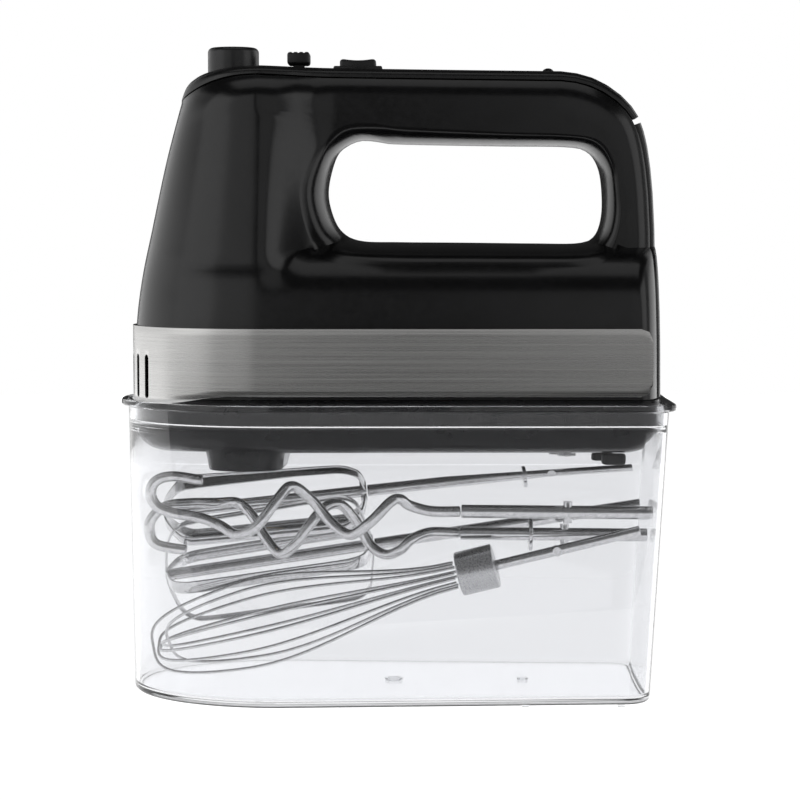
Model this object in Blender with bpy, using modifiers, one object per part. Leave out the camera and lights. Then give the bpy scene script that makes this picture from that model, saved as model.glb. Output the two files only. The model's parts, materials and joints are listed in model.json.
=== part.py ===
"""Hand mixer resting on its clear storage case, with two beaters, two dough hooks and a whisk inside.

Metres, +Z up. The origin is on the floor under the middle of the object. The nose points to -X,
the heel to +X, and the left half of the housing is on the -Y side.
"""

import math

import bpy
import bmesh
import numpy as np
from mathutils import Matrix, Vector

GAP = 0.0003                 # clearance between pieces that rest on each other
SPLIT = 0.00015              # half the gap between the two housing halves

# Storage case
RIM_Z = 0.1172
RIM_THICKNESS = 0.0026
CASE_WALL = 0.0016
CASE_FLOOR = 0.0022
LEDGE = 0.0008               # rib round the inside that the base nests in
CASE_NOSE_LENGTH = 0.060

# Mixer body, side view
BODY_NOSE = -0.0522          # where the round nose meets the flat sides
BODY_BOTTOM = 0.1190
BODY_HALF_WIDTH = 0.0452
HANDLE_HALF_WIDTH = 0.0195
SHELL = 0.0024
RAY_CENTRE = (0.0285, 0.198)
SEAM_SHARE = 0.76            # how far round the edge the housing reaches before the cover strip

# Trim band
BAND_LOW = 0.1203
BAND_HIGH = 0.1462
BAND_DIP = 0.0036
BAND_REAR = 0.0990
BAND_THICKNESS = 0.0006
BAND_CORNER = 0.0046
VENT_COUNT = 7
VENT_PITCH = math.radians(10.9)
VENT_WIDTH = 0.0030
VENT_LOW = 0.1183
VENT_HIGH = 0.1353
VENT_RADIUS = 0.0450

# Drive train
MOTOR_Z = 0.1390
SHAFT_R = 0.0030
SPINDLE_X = -0.0580
SPINDLE_Y = 0.0190
SPINDLE_R = 0.0060
SOCKET_R = 0.0032
GEAR_TEETH = 26
GEAR_PITCH_R = 0.0135
GEAR_THICKNESS = 0.0050
WORM_PITCH_R = SPINDLE_Y - GEAR_PITCH_R
TOOTH_PITCH = 2 * math.pi * GEAR_PITCH_R / GEAR_TEETH

# Cable inlet in the rear cover
INLET_Z = 0.1320
INLET_R = 0.0068

# Controls
KNOB_X = -0.0636
KNOB_R = 0.0101
KNOB_TOP = 0.2557
SLIDER_X = -0.0376
SLIDER_TRAVEL = 0.0090
TURBO_X = -0.0141

BLACK = (0.010, 0.010, 0.011)
STEEL = (0.62, 0.61, 0.59)
CHROME = (0.75, 0.75, 0.76)
CLEAR = (0.86, 0.87, 0.89)
COPPER = (0.55, 0.24, 0.10)
BRASS = (0.60, 0.45, 0.18)
NYLON = (0.78, 0.76, 0.70)
GREY = (0.20, 0.20, 0.21)

# Nose line of the side view, as (height, x), and the top line, as (x, height)
NOSE_LINE = [
    (0.1000, -0.1034), (0.1462, -0.1026), (0.1638, -0.1004), (0.1837, -0.0962),
    (0.2115, -0.0901), (0.2281, -0.0857), (0.2335, -0.0842),
]
TOP_LINE = [(-0.0520, 0.2480), (-0.0330, 0.2474), (0.0025, 0.2468), (0.0581, 0.2461), (0.0660, 0.2460)]
# Rear of the side view, from the end of the top line down to the bottom
REAR_LINE = [
    (0.0660, 0.2460), (0.0723, 0.2452), (0.0786, 0.2434), (0.0843, 0.2405), (0.0898, 0.2365),
    (0.0941, 0.2320), (0.0972, 0.2272), (0.0991, 0.2217), (0.1004, 0.2160), (0.1016, 0.2080),
    (0.1026, 0.1980), (0.1034, 0.1840), (0.1039, 0.1600), (0.1044, 0.1400), (0.1046, 0.1190),
]
NOTCH_X = 0.0970             # where the top cover ends and the rear cover starts
# Finger opening, and the outer edge of the rounding round it, as loops of key points
OPENING = [
    (-0.0258, 0.2000), (-0.0245, 0.1905), (-0.0205, 0.1830), (-0.0130, 0.1794), (0.0025, 0.1789),
    (0.0285, 0.1787), (0.0560, 0.1784), (0.0735, 0.1785), (0.0800, 0.1812), (0.0828, 0.1890),
    (0.0829, 0.2000), (0.0812, 0.2090), (0.0768, 0.2148), (0.0680, 0.2166), (0.0420, 0.2169),
    (0.0025, 0.2176), (-0.0050, 0.2184), (-0.0120, 0.2191), (-0.0178, 0.2172), (-0.0226, 0.2125),
]
ROUNDING = [
    (-0.0352, 0.2010), (-0.0340, 0.1880), (-0.0290, 0.1770), (-0.0180, 0.1715), (0.0025, 0.1700),
    (0.0285, 0.1699), (0.0560, 0.1699), (0.0760, 0.1705), (0.0850, 0.1760), (0.0886, 0.1880),
    (0.0880, 0.2000), (0.0862, 0.2100), (0.0800, 0.2185), (0.0680, 0.2208), (0.0420, 0.2217),
    (0.0025, 0.2238), (-0.0065, 0.2250), (-0.0150, 0.2252), (-0.0230, 0.2225), (-0.0300, 0.2140),
]
# Half width of the column between nose and opening, as (height, half width)
COLUMN_WIDTHS = [
    (0.1462, 0.0452), (0.1650, 0.0440), (0.1850, 0.0410), (0.2050, 0.0368), (0.2280, 0.0318),
    (0.2480, 0.0290),
]

# Base under the motor
PAN_BOTTOM = 0.0990
BASE_SCREWS = [(0.0675, -0.026), (0.0675, 0.026)]
# Top of the nose cap, as (share of the way to the tip, height)
CAP_LINE = [(0.0, 0.2480), (0.35, 0.2474), (0.6, 0.2459), (0.8, 0.2433), (0.93, 0.2395), (1.0, 0.2345)]

# Motor shaft and its worm, along X
WORM_FRONT = SPINDLE_X - 0.0120
WORM_REAR = SPINDLE_X + 0.0120
SHAFT_FRONT = -0.0800
SHAFT_REAR = 0.0560

# Attachments in the case
BEATERS = (
    # number, start of the head, tip of the head, shaft end, head radius, turn of the strips
    (1, (-0.0104, 0.0200, 0.0770), (-0.0940, 0.0186, 0.0680), (0.0978, 0.0200, 0.0887), 0.0175, 45),
    (2, (-0.0073, 0.0080, 0.0565), (-0.0920, 0.0080, 0.0437), (0.1000, 0.0080, 0.0727), 0.0220, -10),
)
STRIP_WIDTH = 0.0050
STRIP_THICKNESS = 0.0009
# Cross lugs on every shaft
LUG_FROM_END = 0.0335
LUG_R = 0.0018
LUG_REACH = 0.0016
# Dough hooks: number, y of the shaft and of the free end, shaft height, shaft end, and the wire's
# key points (x, z) from the shaft to the free end
HOOKS = (
    (1, -0.0315, -0.0205, 0.0746, 0.1012, [
        (0.0260, 0.0747), (0.0142, 0.0748), (0.0064, 0.0769), (0.0025, 0.0797), (-0.0014, 0.0787),
        (-0.0092, 0.0709), (-0.0170, 0.0656), (-0.0247, 0.0701), (-0.0325, 0.0791), (-0.0395, 0.0845),
        (-0.0449, 0.0799), (-0.0528, 0.0697), (-0.0606, 0.0656), (-0.0686, 0.0686), (-0.0760, 0.0712),
        (-0.0861, 0.0726), (-0.0925, 0.0752), (-0.0950, 0.0801), (-0.0932, 0.0852), (-0.0865, 0.0873),
        (-0.0746, 0.0859),
    ]),
    (2, -0.0170, -0.0140, 0.0640, 0.1010, [
        (0.0260, 0.0643), (0.0144, 0.0646), (0.0072, 0.0622), (0.0025, 0.0578), (-0.0034, 0.0555),
        (-0.0094, 0.0590), (-0.0153, 0.0690), (-0.0212, 0.0754), (-0.0271, 0.0748), (-0.0331, 0.0682),
        (-0.0386, 0.0606), (-0.0446, 0.0562), (-0.0505, 0.0614), (-0.0560, 0.0702), (-0.0615, 0.0755),
        (-0.0687, 0.0762), (-0.0807, 0.0758), (-0.0900, 0.0746), (-0.0955, 0.0698), (-0.0965, 0.0646),
        (-0.0935, 0.0592), (-0.0820, 0.0571),
    ]),
)
HOOK_SHAFT_START = 0.0263
# How far the wire winds out of its plane, and the length of one wind
HOOK_SWING = 0.0055
HOOK_PITCH = 0.0450
# Whisk: far end of the loops, middle of the ferrule, end of the shaft
WHISK_TIP = Vector((-0.0950, -0.0165, 0.0185))
WHISK_FERRULE = Vector((0.0327, -0.0260, 0.0510))
WHISK_END = Vector((0.0960, -0.0315, 0.0672))
WHISK_LOOPS = 4
WHISK_RADIUS = 0.0192
WHISK_WIRE = 0.0006


def clear_scene():
    for thing in list(bpy.data.objects):
        bpy.data.objects.remove(thing)


def new_collection(name):
    group = bpy.data.collections.new(name)
    bpy.context.scene.collection.children.link(group)
    return group


def material(name, colour, roughness, metallic=0.0, alpha=1.0):
    made = bpy.data.materials.new(name)
    made.use_nodes = True
    shader = made.node_tree.nodes["Principled BSDF"]
    shader.inputs["Base Color"].default_value = (*colour, 1.0)
    shader.inputs["Roughness"].default_value = roughness
    shader.inputs["Metallic"].default_value = metallic
    shader.inputs["Alpha"].default_value = alpha
    return made


# ---------------------------------------------------------------- general shapes


def place(thing, look):
    """Moves an object into the parts collection and gives it its material."""
    for group in list(thing.users_collection):
        group.objects.unlink(thing)
    PARTS.objects.link(thing)
    thing.data.materials.clear()
    thing.data.materials.append(look)
    return thing


def as_cutter(thing):
    for group in list(thing.users_collection):
        group.objects.unlink(thing)
    CUTTERS.objects.link(thing)
    thing.hide_render = True
    thing.display_type = "WIRE"
    return thing


def mesh_object(name, mesh_maker):
    """A new object whose mesh is filled in by mesh_maker(bm)."""
    bm = bmesh.new()
    mesh_maker(bm)
    bmesh.ops.remove_doubles(bm, verts=bm.verts, dist=1e-6)
    mesh = bpy.data.meshes.new(name)
    bm.to_mesh(mesh)
    bm.free()
    made = bpy.data.objects.new(name, mesh)
    bpy.context.scene.collection.objects.link(made)
    return made


def fill_grid(bm, rows):
    """Quads between neighbouring rows of points; every row has the same number of points."""
    verts = [[bm.verts.new(p) for p in row] for row in rows]
    for low, high in zip(verts, verts[1:]):
        for i in range(len(low) - 1):
            corners = [low[i], low[i + 1], high[i + 1], high[i]]
            bm.faces.new(corners)
    return verts


def face_outwards(bm, centre):
    """Welds an open skin and turns its faces so that on the whole they look away from centre."""
    bmesh.ops.remove_doubles(bm, verts=bm.verts, dist=1e-6)
    bmesh.ops.recalc_face_normals(bm, faces=bm.faces)
    outward = sum((f.calc_center_median() - Vector(centre)).dot(f.normal) * f.calc_area() for f in bm.faces)
    if outward < 0:
        bmesh.ops.reverse_faces(bm, faces=bm.faces)


def skin(name, rows, centre):
    """An open surface through rows of points, looking away from centre."""

    def fill(bm):
        fill_grid(bm, rows)
        face_outwards(bm, centre)

    return mesh_object(name, fill)


def loft(name, rings, closed=False):
    """A solid through closed rings of points, capped at both ends, or joined end to end."""

    def fill(bm):
        verts = [[bm.verts.new(p) for p in ring] for ring in rings]
        pairs = list(zip(verts, verts[1:]))
        if closed:
            pairs.append((verts[-1], verts[0]))
        for low, high in pairs:
            for i in range(len(low)):
                j = (i + 1) % len(low)
                bm.faces.new([low[i], low[j], high[j], high[i]])
        if not closed:
            bm.faces.new(list(reversed(verts[0])))
            bm.faces.new(verts[-1])
        bmesh.ops.recalc_face_normals(bm, faces=bm.faces)

    return mesh_object(name, fill)


def box(name, low, high, look, bevel=0.0):
    """A box between two opposite corners, with rounded edges if bevel is given."""
    low, high = Vector(low), Vector(high)
    bpy.ops.mesh.primitive_cube_add(size=1, location=(low + high) / 2)
    made = bpy.context.object
    made.name = name
    made.data.transform(Matrix.Diagonal((*(high - low), 1)))
    if bevel:
        round_off = made.modifiers.new("edges", "BEVEL")
        round_off.width = bevel
        round_off.segments = 2
    return place(made, look) if look else as_cutter(made)


def cylinder(name, radius, start, end, look, sides=24):
    start, end = Vector(start), Vector(end)
    bpy.ops.mesh.primitive_cylinder_add(
        vertices=sides, radius=radius, depth=(end - start).length, location=(start + end) / 2
    )
    made = bpy.context.object
    made.name = name
    made.rotation_euler = (end - start).to_track_quat("Z", "Y").to_euler()
    return place(made, look) if look else as_cutter(made)


def turned(name, profile, look, location, axis=(0, 0, 1), steps=20, ring=False):
    """A profile of (radius, height) points spun about an axis: a solid, or a ring if ring is set."""

    def fill(bm):
        verts = [bm.verts.new((r, 0, h)) for r, h in profile]
        for a, b in zip(verts, verts[1:]):
            bm.edges.new((a, b))
        if ring:
            bm.edges.new((verts[-1], verts[0]))

    made = mesh_object(name, fill)
    spin = made.modifiers.new("spin", "SCREW")
    spin.steps = steps
    spin.render_steps = steps
    spin.use_merge_vertices = True
    spin.merge_threshold = 0.00001
    made.location = location
    made.rotation_euler = Vector(axis).to_track_quat("Z", "Y").to_euler()
    return place(made, look)


def washer(name, outer, inner, low, high, look, location, axis=(0, 0, 1), steps=20):
    """A plain ring between two heights on its axis."""
    profile = [(inner, high), (outer, high), (outer, low), (inner, low)]
    return turned(name, profile, look, location, axis, steps, ring=True)


def extruded(name, outlines, thickness, look, location, rotation=(0, 0, 0)):
    """A flat outline, and any holes in it, extruded half its thickness each way."""
    curve = bpy.data.curves.new(name, "CURVE")
    curve.dimensions = "2D"
    curve.fill_mode = "BOTH"
    curve.extrude = thickness / 2
    for outline in outlines:
        spline = curve.splines.new("POLY")
        spline.points.add(len(outline) - 1)
        for point, (x, y) in zip(spline.points, outline):
            point.co = (x, y, 0, 1)
        spline.use_cyclic_u = True
    made = bpy.data.objects.new(name, curve)
    made.location = location
    made.rotation_euler = rotation
    bpy.context.scene.collection.objects.link(made)
    return place(made, look)


def wire(name, points, radius, look, resolution=1):
    """A round wire along a list of points."""
    curve = bpy.data.curves.new(name, "CURVE")
    curve.dimensions = "3D"
    curve.bevel_depth = radius
    curve.bevel_resolution = resolution
    curve.use_fill_caps = True
    spline = curve.splines.new("POLY")
    spline.points.add(len(points) - 1)
    for point, co in zip(spline.points, points):
        point.co = (*co, 1)
    made = bpy.data.objects.new(name, curve)
    bpy.context.scene.collection.objects.link(made)
    return place(made, look)


def cut(target, cutter, operation="DIFFERENCE"):
    change = target.modifiers.new(cutter.name, "BOOLEAN")
    change.operation = operation
    change.object = cutter
    return target


def circle(radius, count, start=0.0):
    steps = (start + 2 * math.pi * i / count for i in range(count))
    return [(radius * math.cos(t), radius * math.sin(t)) for t in steps]


# ---------------------------------------------------------------- curves that shape the body


def smoothstep(value, start, end):
    t = min(1.0, max(0.0, (value - start) / (end - start)))
    return t * t * (3 - 2 * t)


def curve_value(points, at):
    """A smooth curve through (place, value) points, read at one place."""
    xs = [p[0] for p in points]
    ys = [p[1] for p in points]
    at = min(max(at, xs[0]), xs[-1])
    i = min(max(int(np.searchsorted(xs, at)) - 1, 0), len(xs) - 2)
    slopes = [(ys[k + 1] - ys[k]) / (xs[k + 1] - xs[k]) for k in range(len(xs) - 1)]

    def tangent(k):
        if k == 0 or k == len(xs) - 1:
            return slopes[0 if k == 0 else -1]
        return (slopes[k - 1] + slopes[k]) / 2

    width = xs[i + 1] - xs[i]
    t = (at - xs[i]) / width
    m0, m1 = tangent(i) * width, tangent(i + 1) * width
    ease = t * t * (3 - 2 * t)
    return (1 - ease) * ys[i] + ease * ys[i + 1] + m0 * t * (1 - t) ** 2 - m1 * t * t * (1 - t)


def closed_curve(points, count):
    """Points along a closed Catmull-Rom curve through a loop of key points."""
    made = []
    total = len(points)
    for k in range(count):
        place_on = k * total / count
        i = int(place_on)
        t = place_on - i
        p0, p1, p2, p3 = (np.array(points[(i + j) % total]) for j in (-1, 0, 1, 2))
        a = 2 * p1 + (p2 - p0) * t
        b = (2 * p0 - 5 * p1 + 4 * p2 - p3) * t * t
        c = (3 * p1 - p0 - 3 * p2 + p3) * t ** 3
        made.append(0.5 * (a + b + c))
    return np.array(made)


def low_excess(z):
    """How much wider than the handle the lower body is: full at the band, round at the shoulder."""
    full = BODY_HALF_WIDTH - HANDLE_HALF_WIDTH
    if z <= BAND_HIGH:
        return full
    share = min(1.0, (z - BAND_HIGH) / 0.030)
    return full * (1 - share ** 2.2) ** (1 / 2.2)


def column_excess(x, z):
    """How much wider than the handle the nose column is. It fades towards the finger opening."""
    full = curve_value(COLUMN_WIDTHS, z) - HANDLE_HALF_WIDTH
    return full * smoothstep(-x, 0.024, 0.0522) * smoothstep(z, BAND_HIGH, 0.175)


def half_width(x, z):
    """Half the width of the body at a place in its side view."""
    low, column = low_excess(z), column_excess(x, z)
    return HANDLE_HALF_WIDTH + (low ** 4 + column ** 4) ** 0.25


def side_frame(count):
    """The flat side face's outer edge: rows of (x, z, edge x, edge z, kind), anticlockwise."""
    rows = []
    corner_z = curve_value(TOP_LINE, BODY_NOSE) - 0.0180
    for z in np.linspace(corner_z, BODY_BOTTOM, count)[1:]:
        rows.append((BODY_NOSE, z, BODY_NOSE, z, "nose"))
    for x in np.linspace(BODY_NOSE, REAR_LINE[-1][0] - 0.012, count)[1:-1]:
        rows.append((x, BODY_BOTTOM, x, BODY_BOTTOM, "low"))
    rear = np.array(REAR_LINE[::-1])
    lengths = np.concatenate([[0], np.cumsum(np.linalg.norm(np.diff(rear, axis=0), axis=1))])
    for s in np.linspace(0, lengths[-1], 3 * count):
        point = np.array([np.interp(s, lengths, rear[:, 0]), np.interp(s, lengths, rear[:, 1])])
        ahead = np.array([
            np.interp(s + 0.004, lengths, rear[:, 0]) - np.interp(s - 0.004, lengths, rear[:, 0]),
            np.interp(s + 0.004, lengths, rear[:, 1]) - np.interp(s - 0.004, lengths, rear[:, 1]),
        ])
        ahead /= np.linalg.norm(ahead)
        depth = 0.012 + 0.006 * smoothstep(s / lengths[-1], 0.55, 1.0)
        inner = point + np.array([-ahead[1], ahead[0]]) * depth
        rows.append((inner[0], inner[1], point[0], point[1], "edge"))
    for x in np.linspace(REAR_LINE[0][0], BODY_NOSE, 2 * count)[1:]:
        z = curve_value(TOP_LINE, x)
        rows.append((x, z - 0.018, x, z, "edge"))
    return rows


def at_angles(loop, angles):
    """Where rays from the opening's middle cross a loop of points, read by angle."""
    loop = np.array([row[:4] for row in loop], float)
    seen = np.unwrap(np.arctan2(loop[:, 1] - RAY_CENTRE[1], loop[:, 0] - RAY_CENTRE[0]))
    order = np.argsort(seen)
    seen, loop = seen[order], loop[order]
    seen = np.concatenate([seen - 2 * math.pi, seen, seen + 2 * math.pi])
    loop = np.concatenate([loop] * 3)
    return [[np.interp(a, seen, loop[:, k]) for k in range(loop.shape[1])] for a in angles]


def ray_angles(counts):
    """Angles of the rays: evenly spread over each side, with a ray exactly at each corner."""
    rear_x, top_z = REAR_LINE[-1][0] - 0.012, curve_value(TOP_LINE, BODY_NOSE) - 0.018
    corners = [(BODY_NOSE, top_z), (BODY_NOSE, BODY_BOTTOM), (rear_x, BODY_BOTTOM)]
    turns = [math.atan2(z - RAY_CENTRE[1], x - RAY_CENTRE[0]) % (2 * math.pi) for x, z in corners]
    turns.append(turns[0] + 2 * math.pi)
    angles = []
    for start, end, count in zip(turns, turns[1:], counts):
        angles += list(np.linspace(start, end, count, endpoint=False))
    return angles


def edge_share(step, steps, power=2.5):
    """Along the rounded outer edge: (share of the way out, share of the width that is left)."""
    out = SEAM_SHARE * math.sin(step / steps * math.pi / 2)
    return out, (1 - out ** power) ** (1 / power)


def housing_rows(counts, rounding_steps, side_steps, edge_steps):
    """Rows of points on the outer skin of one half, one row for each ray from the opening."""
    angles = ray_angles(counts)
    inner = at_angles(closed_curve(OPENING, 240), angles)
    rounded = at_angles(closed_curve(ROUNDING, 240), angles)
    outer = at_angles(side_frame(40), angles)
    rows = []
    for i, (o, f, s) in enumerate(zip(inner, rounded, outer)):
        row = []
        width = half_width(f[0], f[1])
        for k in range(rounding_steps):
            turn = math.pi / 2 * k / rounding_steps
            out, across = (1 - math.cos(turn)), math.sin(turn)
            if k == 0:
                across = 0
            x, z = o[0] + (f[0] - o[0]) * out, o[1] + (f[1] - o[1]) * out
            row.append((x, -max(SPLIT, width * across), z))
        for k in range(side_steps + 1):
            t = k / side_steps
            x, z = f[0] + (s[0] - f[0]) * t, f[1] + (s[1] - f[1]) * t
            row.append((x, -half_width(x, z), z))
        tail = []
        if i >= counts[0] + counts[1] or i == 0:
            width = half_width(s[0], s[1])
            for k in range(1, edge_steps + 1):
                out, left = edge_share(k, edge_steps)
                x, z = s[0] + (s[2] - s[0]) * out, s[1] + (s[3] - s[1]) * out
                tail.append((x, -width * left, z))
        rows.append((row, tail))
    return rows


def seam_drop(z):
    """How far the seam under the cover dips at the very front of the nose, fading downwards."""
    return 0.0095 * smoothstep(z, 0.200, 0.2435)


def nose_row(start, steps):
    """One level of the nose, from the flat side round to the middle."""
    x0, y0, z0 = start
    tip_z = z0 - seam_drop(z0)
    reach = BODY_NOSE - curve_value(NOSE_LINE, tip_z)
    row = []
    for k in range(steps + 1):
        turn = math.pi / 2 * k / steps
        across = max(SPLIT, -y0 * math.cos(turn))
        row.append((x0 - reach * math.sin(turn), -across, z0 - seam_drop(z0) * math.sin(turn) ** 2.3))
    return row


def housing_skin(bm, counts, rounding_steps, side_steps, edge_steps, nose_steps):
    """The whole outer skin of the left half: round the opening, then the nose."""
    rows = housing_rows(counts, rounding_steps, side_steps, edge_steps)
    ring = [row for row, _ in rows]
    fill_grid(bm, ring + ring[:1])
    first_edge = counts[0] + counts[1]
    tails = [[row[-1]] + tail for row, tail in rows]
    fill_grid(bm, tails[first_edge:] + tails[:1])
    levels = [row[-1] for row, _ in rows[counts[0]::-1]]
    levels += rows[0][1]
    fill_grid(bm, [nose_row(level, nose_steps) for level in levels])
    face_outwards(bm, (0, 0, 0.180))


def make_housing_halves(vents):
    """Left and right halves of the black housing, split on the middle plane."""
    look = material("gloss_black", BLACK, 0.12)
    far = 0.150              # beyond either end of the body
    for side, sign in (("left", 1), ("right", -1)):
        half = mesh_object(
            "housing_" + side, lambda bm: housing_skin(bm, (10, 10, 26), 3, 2, 3, 6)
        )
        if sign < 0:
            half.data.transform(Matrix.Diagonal((1, -1, 1, 1)))
            half.data.flip_normals()
        wall = half.modifiers.new("wall", "SOLIDIFY")
        wall.thickness = SHELL
        wall.offset = -1
        place(half, look)
        for vent in vents:
            cut(half, vent)
        middle, beyond = -sign * SPLIT, sign * 0.020
        low, high = min(middle, beyond), max(middle, beyond)
        cut(half, box("split_" + side, (-far, low, 0.090), (far, high, 0.260), None))


def plan_ring(tip, nose_length, half, rear, rear_half, corner, z, nose_steps=14, corner_steps=3):
    """A closed plan outline: a round nose, straight sides and a flat rear with round corners."""
    side = []
    for k in range(nose_steps + 1):
        turn = math.pi / 2 * k / nose_steps
        side.append((tip + nose_length * (1 - math.cos(turn)), -half * math.sin(turn)))
    for k in range(corner_steps + 1):
        turn = math.pi / 2 * k / corner_steps
        x = rear - corner + corner * math.sin(turn)
        side.append((x, -(rear_half - corner + corner * math.cos(turn))))
    mirrored = [(x, -y) for x, y in side[:0:-1]]
    return [(x, y, z) for x, y in side + mirrored]


# ---------------------------------------------------------------- storage case


def case_ring(z, inset, corner=0.010):
    """The case's outer wall at one height, moved inwards by inset."""
    t = z / RIM_Z
    tip = -0.1044 - 0.0017 * t + inset
    rear = 0.1001 + 0.0060 * t - inset
    half = 0.0475 + 0.0030 * t - inset
    rear_half = 0.0405 + 0.0085 * t - inset
    corner = max(0.003, corner - inset)
    return plan_ring(tip, CASE_NOSE_LENGTH - inset, half, rear, rear_half, corner, z)


def make_storage_case():
    rim_low = RIM_Z - RIM_THICKNESS
    flange = -0.0026
    wall = CASE_WALL
    rings = [
        case_ring(0.0, 0.0015),
        case_ring(0.0012, 0.0002),
        case_ring(0.0600, 0.0),
        case_ring(rim_low, 0.0),
        case_ring(rim_low + 0.0002, flange + 0.0004),
        case_ring(RIM_Z - 0.0010, flange),
        case_ring(RIM_Z, flange + 0.0008),
        case_ring(RIM_Z, wall - 0.0006),
        case_ring(RIM_Z - 0.0010, wall),
        case_ring(0.1090, wall),
        case_ring(0.1086, wall + LEDGE),
        case_ring(0.1074, wall + LEDGE),
        case_ring(0.1064, wall),
        case_ring(0.0600, wall),
        case_ring(CASE_FLOOR + 0.0012, wall),
        case_ring(CASE_FLOOR, wall + 0.0012),
    ]
    place(loft("storage_case", rings), material("clear_plastic", CLEAR, 0.05, alpha=0.25))


# ---------------------------------------------------------------- base, band and covers


def pan_ring(z, inset):
    return plan_ring(
        -0.1030 + inset, 0.0508 - inset, 0.0452 - inset, 0.1028 - inset, 0.0452 - inset,
        max(0.003, 0.012 - inset * 0.6), z, nose_steps=10,
    )


def make_base_pan():
    """The tray under the motor: rounded underneath, with the boss that the spindles come out of."""
    steps = [(0.0, 0.0130), (0.0009, 0.0080), (0.0030, 0.0040), (0.0065, 0.0014), (0.0110, 0.0)]
    top = BODY_BOTTOM - GAP
    outer = [pan_ring(PAN_BOTTOM + up, inset) for up, inset in steps] + [pan_ring(top, 0.0)]
    inner = [pan_ring(top, 0.0020)]
    inner += [pan_ring(PAN_BOTTOM + up + 0.0020, inset + 0.0020) for up, inset in steps[::-1]]
    pan = loft("base_pan", outer + inner)
    place(pan, material("satin_black", BLACK, 0.35))
    boss = as_cutter(loft("boss_shape", [
        stadium_ring(0.0906, 0.0136, 0.0340), stadium_ring(0.0912, 0.0143, 0.0347),
        stadium_ring(PAN_BOTTOM + 0.0005, 0.0156, 0.0360), stadium_ring(0.1035, 0.0156, 0.0360),
    ]))
    cut(pan, boss, "UNION")
    for sign in (-1, 1):
        hole = cylinder(
            "spindle_hole", 0.0087, (SPINDLE_X, sign * SPINDLE_Y, 0.085),
            (SPINDLE_X, sign * SPINDLE_Y, 0.110), None,
        )
        cut(pan, hole)
    for x, y in BASE_SCREWS:
        cut(pan, cylinder("screw_hole", 0.0022, (x, y, 0.095), (x, y, 0.105), None, sides=12))


def stadium_ring(z, half_x, half_y):
    """A slot-shaped outline round both spindles: straight sides, round ends."""
    ends = []
    for k in range(9):
        turn = math.pi * k / 8
        ends.append((half_x * math.cos(turn), half_y - half_x + half_x * math.sin(turn)))
    loop = ends + [(-x, -y) for x, y in ends]
    return [(SPINDLE_X + x, y, z) for x, y in loop]


def make_base_screws():
    look = material("screw_steel", GREY, 0.35, 0.9)
    head, shank = 0.0036, 0.0018
    for number, (x, y) in enumerate(BASE_SCREWS, 1):
        top = PAN_BOTTOM + 0.0100
        profile = [
            (0, top), (shank, top), (shank, PAN_BOTTOM - GAP), (head, PAN_BOTTOM - GAP),
            (head, PAN_BOTTOM - 0.0014), (0, PAN_BOTTOM - 0.0020),
        ]
        turned(f"base_screw_{number}", profile, look, (x, y, 0), steps=12)


def make_heel_feet():
    look = material("foot_black", BLACK, 0.55)
    for side, sign in (("left", -1), ("right", 1)):
        y = sign * 0.0240
        low = (0.0815, y - 0.0045, 0.0932)
        high = (0.0905, y + 0.0045, PAN_BOTTOM - GAP)
        box("heel_foot_" + side, low, high, look, bevel=0.0012)


def band_outline(steps):
    """The trim band's path in plan, from the left rear end round the nose to the right one."""
    straight = [BAND_REAR, BAND_REAR - 0.0016, BAND_REAR - BAND_CORNER, 0.060, 0.010, -0.030]
    left = [(x, -BODY_HALF_WIDTH, (-0, -1)) for x in straight]
    reach = BODY_NOSE - curve_value(NOSE_LINE, 0.133)
    for k in range(steps + 1):
        turn = math.pi / 2 * k / steps
        normal = Vector((-math.sin(turn) / reach, -math.cos(turn) / BODY_HALF_WIDTH)).normalized()
        left.append((BODY_NOSE - reach * math.sin(turn), -BODY_HALF_WIDTH * math.cos(turn), normal))
    return left + [(x, -y, (n[0], -n[1])) for x, y, n in left[-2::-1]]


def make_trim_band(vents):
    """Brushed steel strip round the lower body, with the air slots at the nose."""
    levels = 4
    rows = []
    for x, y, normal in band_outline(12):
        into = min(BAND_CORNER, BAND_REAR - x)
        corner = BAND_CORNER - math.sqrt(max(0, BAND_CORNER ** 2 - (BAND_CORNER - into) ** 2))
        dip = BAND_DIP * smoothstep(-x, 0.062, 0.092)
        low, high = BAND_LOW - dip + corner, BAND_HIGH - corner
        out = GAP + BAND_THICKNESS
        px, py = x + normal[0] * out, y + normal[1] * out
        rows.append([(px, py, low + (high - low) * k / levels) for k in range(levels + 1)])
    band = skin("trim_band", rows, (0, 0, 0.133))
    wall = band.modifiers.new("wall", "SOLIDIFY")
    wall.thickness = BAND_THICKNESS
    wall.offset = -1
    place(band, material("brushed_steel", STEEL, 0.3, 1.0))
    for vent in vents:
        cut(band, vent)


def make_vent_cutters():
    """Seven upright slots fanned round the nose."""
    half_height = (VENT_HIGH - VENT_LOW) / 2
    middle = (VENT_HIGH + VENT_LOW) / 2
    cutters = []
    for i in range(VENT_COUNT):
        turn = (i - VENT_COUNT // 2) * VENT_PITCH
        ends = []
        for k in range(7):
            a = math.pi * k / 6
            ends.append((VENT_WIDTH / 2 * math.cos(a), half_height - VENT_WIDTH / 2 * (1 - math.sin(a))))
        loop = ends + [(-x, -z) for x, z in ends]
        rings = []
        for out in (-0.008, 0.008):
            r = VENT_RADIUS + out
            centre = -0.1040 + VENT_RADIUS
            rings.append([
                (centre - r * math.cos(turn) - x * math.sin(turn),
                 -r * math.sin(turn) + x * math.cos(turn), middle + z)
                for x, z in loop
            ])
        cutters.append(as_cutter(loft("vent_slot", rings)))
    return cutters


def cover_half_width(x):
    """Half the width of the cover strip at its seam."""
    z = curve_value(TOP_LINE, max(x, BODY_NOSE)) - 0.018
    left = (1 - SEAM_SHARE ** 2.5) ** 0.4
    return half_width(max(x, BODY_NOSE), z) * left


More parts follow.
